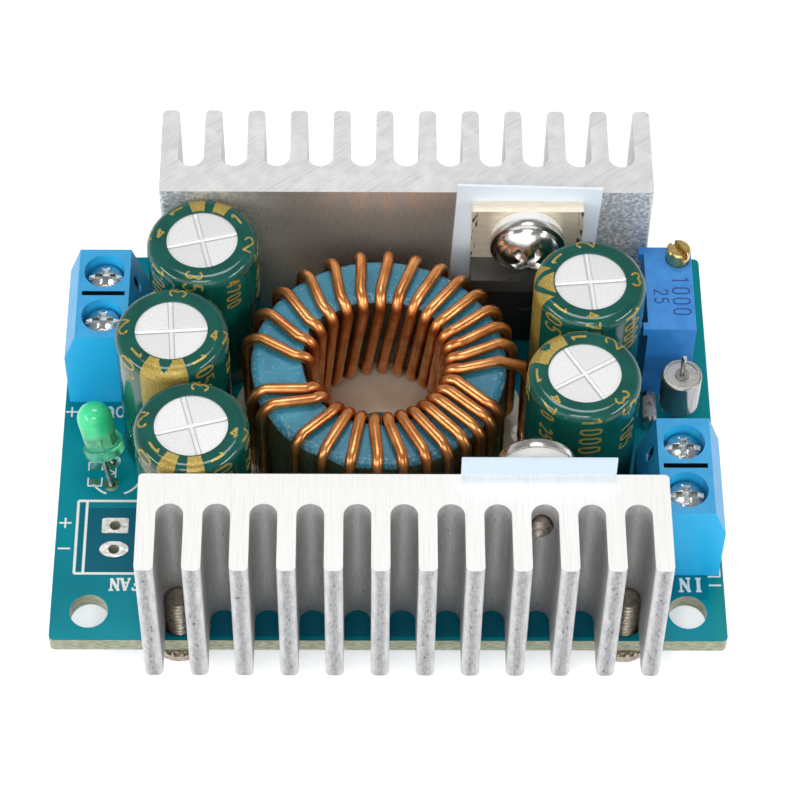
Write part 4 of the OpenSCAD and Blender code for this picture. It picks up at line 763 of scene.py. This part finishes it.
for outward_y in (-1, 1):
    end_y = max(spot.y * outward_y for spot in screw_spots)
    rim = [spot for spot in screw_spots if spot.y * outward_y > end_y - 0.01]
    middle_x = (min(spot.x for spot in rim) + max(spot.x for spot in rim)) / 2
    middle_z = (min(spot.z for spot in rim) + max(spot.z for spot in rim)) / 2
    turned, point_faces = lathe(point_profile)
    turned = [(middle_x + x, outward_y * (end_y + z), middle_z - outward_y * y) for x, y, z in turned]
    screw_points.append((turned, point_faces))
add_piece("screw_points", mesh_of("screw_points", *join_parts(screw_points), True), plated)


# Coil: a ring of pressed iron powder, painted green with one blue face, wound by hand with one layer of
# enamelled copper wire in three groups of turns.
core_low, core_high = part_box("coil_core")
core_r = (core_high[0] - core_low[0]) / 2 / MM
core_bottom, core_top = core_low[2] / MM, core_high[2] / MM
bore_r, core_round = 6.7, 0.8
paint = Finish("core_paint", {"Roughness": 0.36})
speckle = paint.grain(0.3, detail=5.0)
paint_cloud = paint.grain(3.0)
base_blue = paint.ramp(paint_cloud, [(0.35, (0.03, 0.24, 0.38)), (0.65, (0.055, 0.36, 0.53))])
# the blue face is painted darker towards the right: painted shade
shade_start, shade_full = (coil_x - 8) * MM, (coil_x + 4) * MM
painted_shade_share = paint.span(paint.place_part("X"), shade_start, shade_full, end=0.5)
blue_face = paint.mix(painted_shade_share, base_blue, (0.025, 0.16, 0.26, 1))
face_centre = Vector((coil_x, coil_y, core_top)) * MM
core_place = paint.node("TexCoord", {}).outputs["Object"]
to_centre = paint.node("VectorMath", {0: core_place, 1: face_centre}, operation="DISTANCE")
from_axis = to_centre.outputs["Value"]
face_middle = (core_r + bore_r) / 2 * MM
near_rim = paint.size(paint.minus(from_axis, face_middle))
rim_wear = paint.span(near_rim, 1.3 * MM, 2.5 * MM, end=0.16)
wear = paint.math("ADD", speckle, rim_wear)
worn_spots = paint.ramp(wear, [(0.6, (0, 0, 0)), (0.76, (0.6, 0.6, 0.6))])
worn_face = paint.mix(worn_spots, blue_face, (0.45, 0.55, 0.57, 1))
outer_side = paint.ramp(speckle, [(0.35, (0.03, 0.05, 0.02)), (0.68, (0.11, 0.14, 0.07))])
# the side in the bore is painted dark brown: painted shade
shaded_bore_side = paint.ramp(speckle, [(0.35, (0.018, 0.013, 0.008)), (0.68, (0.07, 0.053, 0.034))])
in_bore = paint.under(from_axis, face_middle)
green_side = paint.mix(in_bore, outer_side, shaded_bore_side)
paint_edge = paint.times(paint.minus(paint_cloud, 0.5), 1.4 * MM)
paint_reach = paint.blend(in_bore, (core_top - 0.62) * MM, (core_top - 0.25) * MM)
paint_line = paint.math("ADD", paint_edge, paint_reach)
paint_line = paint.math("MINIMUM", paint_line, (core_top - 0.06) * MM)
on_top = paint.over(paint.place_part("Z"), paint_line)
paint.set("Base Color", paint.mix(on_top, green_side, worn_face))
paint.bump(speckle, 0.015)
dress(["coil_core"], paint)

winding_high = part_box("coil_winding")[1][2] / MM
lay_gap, end_gap = 0.05, 0.2
wire_r = (winding_high - core_top - lay_gap) / 2
lay_in = bore_r - lay_gap - wire_r
lay_out = core_r + lay_gap + wire_r
lay_low = core_bottom - lay_gap - wire_r
lay_high = core_top + lay_gap + wire_r
lay_bend = core_round + lay_gap + wire_r
end_r = lay_out + wire_r
start_r = end_r + end_gap + wire_r
lead_end = -1.2
start_turn, end_turn = -1, -19
rear_turns, left_turns, front_turns = 15, 2, 11
bore_slant = 12


def turn_angles(k):
    """Where one turn lies on the outside of the core and in its bore, in degrees."""
    if k < rear_turns:
        return -2 + 9.2 * k + 0.22 * k * k, -11.4 + 11 * k + 0.19 * k * k
    i = k - rear_turns
    if i < left_turns:
        return 200.4 + 9.5 * i, 209.5 + 10.6 * i
    i -= left_turns
    return 232 + 13.5 * i - 0.35 * i * i, 236 + 10.23 * i


def wire_bend(turn, r, z, start):
    """A quarter bend of one turn, round a corner of the core."""
    steps = [math.radians(start + 15 * i) for i in range(7)]
    return [(turn, r + lay_bend * math.cos(a), z + lay_bend * math.sin(a)) for a in steps]


foot_bend = wire_r * 4 / 3
wire_path = [
    (start_turn, start_r, lead_end),
    (start_turn, start_r, (core_bottom + core_top) / 2),
    (start_turn, start_r, lay_high - 2 * lay_bend),
    (start_turn - 1, start_r - 0.35 * lay_bend, lay_high - 0.6 * lay_bend),
    (start_turn - 2, lay_out - lay_bend, lay_high),
]
for k in range(rear_turns + left_turns + front_turns):
    outside, inside = turn_angles(k)
    if k > 0:
        wire_path += wire_bend(outside, lay_out - lay_bend, lay_low + lay_bend, -90)
        wire_path += wire_bend(outside, lay_out - lay_bend, lay_high - lay_bend, 0)
    wire_path += wire_bend(inside, lay_in + lay_bend, lay_high - lay_bend, 90)
    wire_path += wire_bend(inside + bore_slant, lay_in + lay_bend, lay_low + lay_bend, 180)
for degrees in (0, 30, 60, 90):
    a = math.radians(degrees)
    out, down = foot_bend * (1 - math.sin(a)), foot_bend * (1 - math.cos(a))
    wire_path.append((end_turn, end_r - out, lay_low - down))
wire_path.append((end_turn, end_r, lead_end))


def swept_wire(path, radius, sides=12):
    """A round wire along points given as angle, radius and height about the coil's axis."""
    places = []
    for turn, r, z in path:
        a = math.radians(turn)
        places.append(Vector((coil_x + r * math.cos(a), coil_y + r * math.sin(a), z)))
    rings = []
    for i, place in enumerate(places):
        along = (places[min(i + 1, len(places) - 1)] - places[max(i - 1, 0)]).normalized()
        a = math.radians(path[i][0])
        beside = Vector((-math.sin(a), math.cos(a), 0))
        first = (beside - beside.dot(along) * along).normalized()
        second = along.cross(first)
        around = [2 * math.pi * s / sides for s in range(sides)]
        rings.append([place + radius * (math.cos(t) * first + math.sin(t) * second) for t in around])
    return skin(rings)


enamel = Finish("enamelled_copper", {"Metallic": 0.95, "Roughness": 0.32, "Coat Weight": 0.4})
enamel.set("Coat Roughness", 0.12)
enamel_tone = enamel.grain(1.6, detail=4.0)
enamel.tone(enamel_tone, (0.6, 0.2, 0.05), (0.92, 0.42, 0.145))
enamel.bump(enamel.grain(0.3), 0.008)
winding_mesh = mesh_of("wound_wire", *swept_wire(wire_path, wire_r), True)
winding = add_piece("wound_wire", winding_mesh, enamel)
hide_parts("coil_winding")
end_pad = oval_rim(1.1, 1.1)
end_pad_z = (board_top + 0.015, board_top + 0.06)
end_pads = []
for turn, r in ((start_turn, start_r), (end_turn, end_r)):
    a = math.radians(turn)
    place = (coil_x + r * math.cos(a), coil_y + r * math.sin(a))
    end_pads.append(flat_ring(place, end_pad, wire_r + 0.03, *end_pad_z))
add_piece("coil_pads", mesh_of("coil_pads", *join_parts(end_pads)), tin)


# Capacitors: drawn aluminium cans with a scored cross on top, in a dark green shrunk sleeve printed with
# gold. The print is a stripe of bars on the negative side and plain numbers that run down the sleeve. Each
# can is turned in its sleeve until its cross lies as it should.
can_names = [f"capacitor_{i}_can" for i in range(1, 6)]
sleeve_names = [f"capacitor_{i}_sleeve" for i in range(1, 6)]
modelled_turns = [10, 2, -14, 4, 42]
cross_turns = [14, 4, 15, 5, 31]


def disc_metal(name, cross_turn):
    """Satin aluminium, a little sunk along the two scored lines, which are painted with highlight and shade;
    two quarters are in painted shade.
    """
    finish = Finish(name, {"Metallic": 0.55, "Roughness": 0.46})
    place = finish.node("TexCoord", {}).outputs["Object"]
    lie = {"Location": (*middle_of(name)[:2], 0), "Rotation": (0, 0, math.radians(cross_turn))}
    turned = finish.node("Mapping", {"Vector": place, **lie}, vector_type="TEXTURE")
    parts = finish.node("SeparateXYZ", {0: turned.outputs["Vector"]})
    across, along = (finish.size(parts.outputs[axis]) for axis in ("X", "Y"))
    # two opposite quarters are painted darker: painted shade
    shaded_quarters = finish.over(finish.times(parts.outputs["X"], parts.outputs["Y"]), 0)
    speckle = finish.grain(0.13, detail=5.0)
    bright = finish.ramp(speckle, [(0.3, (0.7, 0.7, 0.7)), (0.7, (0.88, 0.88, 0.875))])
    plain = finish.mix(finish.times(shaded_quarters, 0.2), bright, (0.5, 0.5, 0.51, 1))
    from_line = finish.math("MINIMUM", across, along)
    reach = finish.math("DIVIDE", from_line, 0.5 * MM)
    none, full = (0, 0, 0), (1, 1, 1)
    # painted shade along the edges of each scored line and a painted highlight along its middle
    groove_shade_mask = finish.ramp(reach, [(0.3, none), (0.4, full), (0.46, full), (0.56, none)])
    with_groove_shade = finish.mix(groove_shade_mask, plain, (0.46, 0.46, 0.47, 1))
    groove_highlight_mask = finish.ramp(reach, [(0.28, full), (0.36, none)])
    finish.set("Base Color", finish.mix(groove_highlight_mask, with_groove_shade, (0.9, 0.9, 0.9, 1)))
    groove = finish.math("MINIMUM", finish.times(from_line, 0.12 / MM), 0.036)
    finish.bump(finish.math("ADD", groove, finish.times(speckle, 0.006)), 1.0)
    return finish


for name, modelled_turn, cross_turn in zip(can_names, modelled_turns, cross_turns):
    middle = Matrix.Translation((*middle_of(name)[:2], 0))
    turn = Matrix.Rotation(math.radians(cross_turn - modelled_turn), 4, "Z")
    turned_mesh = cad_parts[name].data.copy()
    turned_mesh.materials.clear()
    turned_mesh.transform(middle @ turn @ middle.inverted())
    turned_can = add_piece(name + "_turned", turned_mesh, disc_metal(name, cross_turn))
    break_edges(turned_can, 0.06)
    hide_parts(name)
sleeve = Finish("shrunk_sleeve", {"Roughness": 0.11, "IOR": 1.54})
sleeve_tone = sleeve.grain(2.5)
sleeve.tone(sleeve_tone, (0.002, 0.066, 0.05), (0.004, 0.1, 0.078))
sleeve.bump(sleeve.grain(1.6), 0.02)
dress(sleeve_names, sleeve)
dress(["capacitor_bungs"], epoxy)
tinned_leads = ["capacitor_leads", "trimmer_pins", "lamp_leads", "standing_can_leads", "glass_diode_caps"]
dress(tinned_leads + ["solder_joints"], tin)

DIGITS = {
    "0": [(0.1, 0.2), (0.1, 0.8), (0.2, 1), (0.4, 1), (0.5, 0.8), (0.5, 0.2), (0.4, 0), (0.2, 0),
          (0.1, 0.2)],
    "1": [(0.12, 0.8), (0.3, 1), (0.3, 0)],
    "2": [(0.1, 0.8), (0.2, 1), (0.4, 1), (0.5, 0.8), (0.5, 0.62), (0.1, 0), (0.52, 0)],
    "3": [(0.1, 0.85), (0.2, 1), (0.4, 1), (0.5, 0.8), (0.38, 0.53), (0.5, 0.28), (0.4, 0), (0.2, 0),
          (0.1, 0.15)],
    "4": [(0.4, 0), (0.4, 1), (0.08, 0.3), (0.54, 0.3)],
    "5": [(0.48, 1), (0.14, 1), (0.12, 0.56), (0.36, 0.62), (0.5, 0.42), (0.5, 0.2), (0.38, 0), (0.18, 0),
          (0.08, 0.15)],
    "7": [(0.08, 1), (0.52, 1), (0.24, 0)],
}


def sleeve_surface(name):
    """The outside of one sleeve: distance round it, then distance from the disc's edge out and down."""
    low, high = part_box(name)
    x, y = (place / MM for place in middle_of(name)[:2])
    top = high[2] / MM
    rim_r, shoulder_r = 3.2, 0.95
    side_r = (high[0] - low[0]) / 2 / MM
    flat = side_r - shoulder_r - rim_r

    def surface(around, down, height):
        a = around / side_r
        lean = min(max((down - flat) / shoulder_r, 0.0), math.pi / 2)
        past = max(down - flat - shoulder_r * math.pi / 2, 0.0)
        r = rim_r + min(down, flat) + (shoulder_r + height) * math.sin(lean)
        z = top - shoulder_r + (shoulder_r + height) * math.cos(lean) - past
        return x + r * math.cos(a), y + r * math.sin(a), z

    return surface, side_r


gold = Finish("gold_ink", {"Roughness": 0.34, "Metallic": 0.3})
gold.tone(gold.grain(0.14), (0.27, 0.19, 0.025), (0.54, 0.4, 0.1))
stripe_turns = [82, -96, -99, 183, 140]
stripe_w, stripe_end, stripe_gap = 4.44, 14.4, 3.0
lanes = 32
lane_w = stripe_w / lanes
print_lines = ("105", "470 25", "1000", "35 105", "4700", "25 470", "103")
line_heights = (1.7, 1.35, 1.8)
line_starts = (0.5, 0.25, 1.5, 0.4, 2.1)
figure_step, figure_w = 0.75, 0.21
# dark dashes in the stripe: start, end, slant of both ends and reach to each side
first_dashes = [(-1, 2.6, 0, -0.8, 0.5), (-1, 1.6, 0, -1.5, 0.85), (-1, 2.8, 0, -0.8, 0.5),
                (1.6, 2.3, -0.8, -0.8, 2.3), (0.7, 1.7, 0.5, -0.5, 0.5)]
lower_dashes = [(5.2, 6.4, 0.8, -0.8, 0.5), (9.2, 10.4, 0.8, -0.8, 0.5)]


def gold_runs(dashes, aside):
    """Gold along one lane of the stripe, between dark dashes that reach aside and have slanted ends."""
    runs, free = [], 0.12
    for start, end, start_slant, end_slant, reach in dashes:
        if aside <= reach:
            runs.append((free, start + start_slant * aside))
            free = max(free, end + end_slant * aside)
    runs.append((free, stripe_end))
    return [(start, end) for start, end in runs if end - start > 0.1]


for name, stripe_turn, first_dash in zip(sleeve_names, stripe_turns, first_dashes):
    surface, side_r = sleeve_surface(name)
    gold_print = Ink(surface)
    middle = math.radians(stripe_turn) * side_r
    for lane in range(lanes):
        side = (lane + 0.5) * lane_w - lanes * lane_w / 2
        for start, end in gold_runs([first_dash] + lower_dashes, abs(side)):
            steps = max(3, round((end - start) / 0.3))
            gold_print.bar((middle + side, start), (middle + side, end), lane_w * 1.08, steps=steps)
    room = 2 * math.pi * side_r - 2 * stripe_gap - line_heights[0]
    for line, text in enumerate(print_lines):
        height = line_heights[line % 3]
        around = middle + stripe_gap + line * room / (len(print_lines) - 1)
        down = line_starts[line % 5]
        for character in text:
            if character in DIGITS:
                corners = [(around + y * height, down + x * height) for x, y in DIGITS[character]]
                gold_print.line(corners, figure_w, steps=2)
            down += figure_step * height
    add_piece(name.replace("sleeve", "print"), gold_print.mesh(name), gold)


# Terminal blocks: sky blue moulded blocks with a screw and a box clamp in each pole. The screws and
# clamps are plated steel, and the blocks stand on the contacts' legs in the board.
block_top = 10.0
slope_foot = Vector((7.3, 5.2))
slope_out = Vector((4.8, 1.45)).normalized()
slot_middle = 3.5
slot_half_l, slot_half_w, slot_half_h = 1.97, 0.27, 0.66
pole_offset = 2.54
side_slot_h = 7.5


def moulded_block(name, inward):
    """Sky blue plastic with near black painted shade in the slot between the poles and the slots in the coil
    side, and painted light on the front faces.
    """
    low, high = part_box(name)
    wire_side = low[0] if inward > 0 else high[0]
    finish = Finish(name, {"Roughness": 0.38})
    inside = finish.times(finish.minus(finish.place_part("X"), wire_side), inward)
    along = finish.minus(finish.place_part("Y"), middle_of(name)[1])
    height = finish.minus(finish.place_part("Z"), high[2] - block_top * MM)
    pole_slot = finish.times(
        finish.within(inside, slot_middle, slot_half_l), finish.within(along, 0, slot_half_w),
        finish.within(height, block_top - 0.7, slot_half_h),
    )
    outward = finish.math("ADD", finish.times(inside, slope_out.x), finish.times(height, slope_out.y))
    slope_depth = finish.minus(slope_foot.dot(slope_out) * MM, outward)
    pole = finish.size(along)
    faces_in = finish.over(finish.times(finish.normal_part("X"), inward), -0.3)
    side_slot = finish.times(
        finish.within(slope_depth, 0.68, 0.5), finish.within(pole, pole_offset, 0.62),
        finish.within(height, side_slot_h, 2.2), faces_in,
    )
    plain = finish.ramp(finish.grain(1.5), [(0.3, (0.02, 0.34, 0.7)), (0.7, (0.035, 0.41, 0.79))])
    # faces toward the front are painted lighter: painted light
    lit_front_face = finish.under(finish.normal_part("Y"), -0.6)
    blue = finish.mix(finish.times(lit_front_face, 0.8), plain, (0.015, 0.52, 0.96, 1))
    # the slots are painted near black: painted shade
    slot_shade = finish.math("MAXIMUM", pole_slot, side_slot)
    finish.set("Base Color", finish.mix(slot_shade, blue, (0.003, 0.014, 0.03, 1)))
    finish.bump(finish.grain(0.15), 0.008)
    return finish


for name, inward in (("left_terminal_housing", 1), ("right_terminal_housing", -1)):
    dress([name], moulded_block(name, inward), 0.14)
poles = ["left_front", "left_rear", "right_front", "right_rear"]
zinc = Finish("zinc_plate", {"Metallic": 1.0, "Roughness": 0.24})
zinc_spots = zinc.grain(0.5, detail=4.0)
zinc_colour = zinc.ramp(zinc_spots, [(0.3, (0.46, 0.52, 0.54)), (0.7, (0.66, 0.71, 0.73))])
head_top = max(vertex.co.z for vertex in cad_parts["right_front_screw"].data.vertices)
# darker below the top of the head, down its recess: painted shade
recess_shade = zinc.span(zinc.place_part("Z"), head_top - 0.5 * MM, head_top - 0.1 * MM, 0.5, 0.0)
zinc.set("Base Color", zinc.mix(recess_shade, zinc_colour, (0.09, 0.085, 0.08, 1)))
zinc.bump(zinc_spots, 0.02)
dress([pole + "_screw" for pole in poles], zinc, 0.08)
dress([pole + "_clamp" for pole in poles], nickel, 0.06)


# Trimmer: a blue moulded case with plain figures marked on its top and a slotted brass adjusting screw at
# one end. It stands on three pins that are soldered in the board.
trimmer_blue = Finish("trimmer_blue", {"Roughness": 0.4})
trimmer_blue.tone(trimmer_blue.grain(1.2), (0.028, 0.235, 0.67), (0.045, 0.3, 0.78))
trimmer_blue.bump(trimmer_blue.grain(0.2), 0.012)
dress(["trimmer_housing"], trimmer_blue, 0.1)
case_low, case_high = (Vector(corner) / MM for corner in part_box("trimmer_housing"))
mark_w = 0.13
figures = Ink(lambda x, y, height: (x, y, case_high.z + height))
for text, left, rear, figure_h in (("1000", 2.9, 3.4, 1.6), ("25", 1.2, 4.85, 1.3)):
    for i, character in enumerate(text):
        start_x, start_y = case_low.x + left, case_high.y - rear - i * figure_step * figure_h
        corners = [(start_x + y * figure_h * 0.95, start_y - x * figure_h) for x, y in DIGITS[character]]
        figures.line(corners, mark_w)
mark_blue = Finish("marked_figures", {"Roughness": 0.5})
mark_blue.tone(mark_blue.grain(0.3), (0.006, 0.05, 0.2), (0.012, 0.07, 0.27))
add_piece("trimmer_figures", figures.mesh("trimmer_figures"), mark_blue)
brass = Finish("turned_brass", {"Metallic": 1.0, "Roughness": 0.25})
brass_rings = brass.grain(0.3, detail=5.0)
brass.tone(brass_rings, (0.55, 0.36, 0.12), (0.83, 0.62, 0.27))
dress(["trimmer_screw"], brass, 0.05)


# Lamp: a lens of tinted clear resin that leans to the left and the rear on two bent leads, cast round a
# small lead frame.
lean_left, lean_rear = math.radians(-13), math.radians(-20)
lens_lift, tint_start, tint_full = 2.6, 2.1, 2.7
plate_t = 0.4
lamp_foot = Vector((*on_board(lamp_x, 17.83), board_top))
lamp_lean = Matrix.Rotation(lean_left, 4, "Y") @ Matrix.Rotation(lean_rear, 4, "X")
lamp_axis = lamp_lean @ Vector((0, 0, 1))
lens = Finish("green_resin", {"Roughness": 0.1, "IOR": 1.5})
lens_place = lens.node("TexCoord", {}).outputs["Object"]
up_lamp = lens.node("VectorMath", {0: lens_place, 1: lamp_axis}, operation="DOT_PRODUCT").outputs["Value"]
lens_start = lamp_foot.dot(lamp_axis) + lens_lift
tinted = lens.span(up_lamp, (lens_start + tint_start) * MM, (lens_start + tint_full) * MM)
green = lens.ramp(lens.grain(1.5), [(0.3, (0.045, 0.72, 0.3)), (0.7, (0.085, 0.86, 0.4))])
lens.set("Base Color", lens.mix(tinted, (0.24, 0.98, 0.54, 1), green))
lens.set("Transmission Weight", lens.blend(tinted, 0.78, 0.15))
dress(["lamp_lens"], lens)


def lamp_plate(outline):
    """A plate of the lead frame, from its outline across and along the lamp."""
    sides = (-plate_t / 2, plate_t / 2)
    return skin([[lamp_foot + lamp_lean @ Vector((x, y, z)) for y, z in outline] for x in sides])


cup = [(-1.05, 2.9), (-0.65, 2.9), (-0.65, 3.9), (0.1, 4.5), (0.1, 5.0), (-0.75, 5.0), (-1.05, 4.4)]
post = [(0.6, 2.9), (1.0, 2.9), (1.0, 4.9), (0.35, 5.1), (0.3, 4.8), (0.6, 4.3)]
frame_plates = [lamp_plate(cup), lamp_plate(post)]
add_piece("lamp_frame", mesh_of("lamp_frame", *join_parts(frame_plates)), tin)


# Standing can and glass diode: a drawn steel can with a rolled rim that stands on its own lead, and a
# small glass diode with tinned caps beside it.
steel_can = Finish("can_steel", {"Metallic": 0.9})
can_lines = steel_can.grain(0.2, stretch=(1, 1, 12), detail=4.0)
lid_lines = steel_can.grain(0.12, stretch=(6, 1, 1), detail=4.0)
lid_face = steel_can.over(steel_can.normal_part("Z"), 0.6)
can_colour = steel_can.ramp(can_lines, [(0.3, (0.3, 0.3, 0.31)), (0.7, (0.48, 0.48, 0.49))])
lid_colour = steel_can.ramp(lid_lines, [(0.3, (0.34, 0.335, 0.31)), (0.7, (0.5, 0.49, 0.46))])
steel_can.set("Base Color", steel_can.mix(lid_face, can_colour, lid_colour))
steel_can.set("Roughness", steel_can.blend(lid_face, 0.16, 0.36))
dress(["standing_can"], steel_can)
seal = Finish("seal_glass", {"Roughness": 0.25})
seal.tone(seal.grain(0.3), (0.2, 0.19, 0.18), (0.36, 0.35, 0.33))
dress(["standing_can_seal"], seal)
glass = Finish("diode_glass", {"Roughness": 0.06, "Transmission Weight": 0.35, "IOR": 1.5})
glass.tone(glass.grain(0.5), (0.6, 0.3, 0.22), (0.86, 0.84, 0.82), 0.36, 0.5)
dress(["glass_diode"], glass)


# Chips under the board: a row of small fired ceramic bodies with tinned ends. They are soldered flat on the
# underside, below the coil.
ceramic = Finish("brown_ceramic", {"Roughness": 0.4})
ceramic.tone(ceramic.grain(0.3), (0.12, 0.075, 0.05), (0.22, 0.15, 0.1))
dress(["chip_bodies"], ceramic, 0.05)
dress(["chip_ends"], tin, 0.05)

bpy.context.view_layer.update()
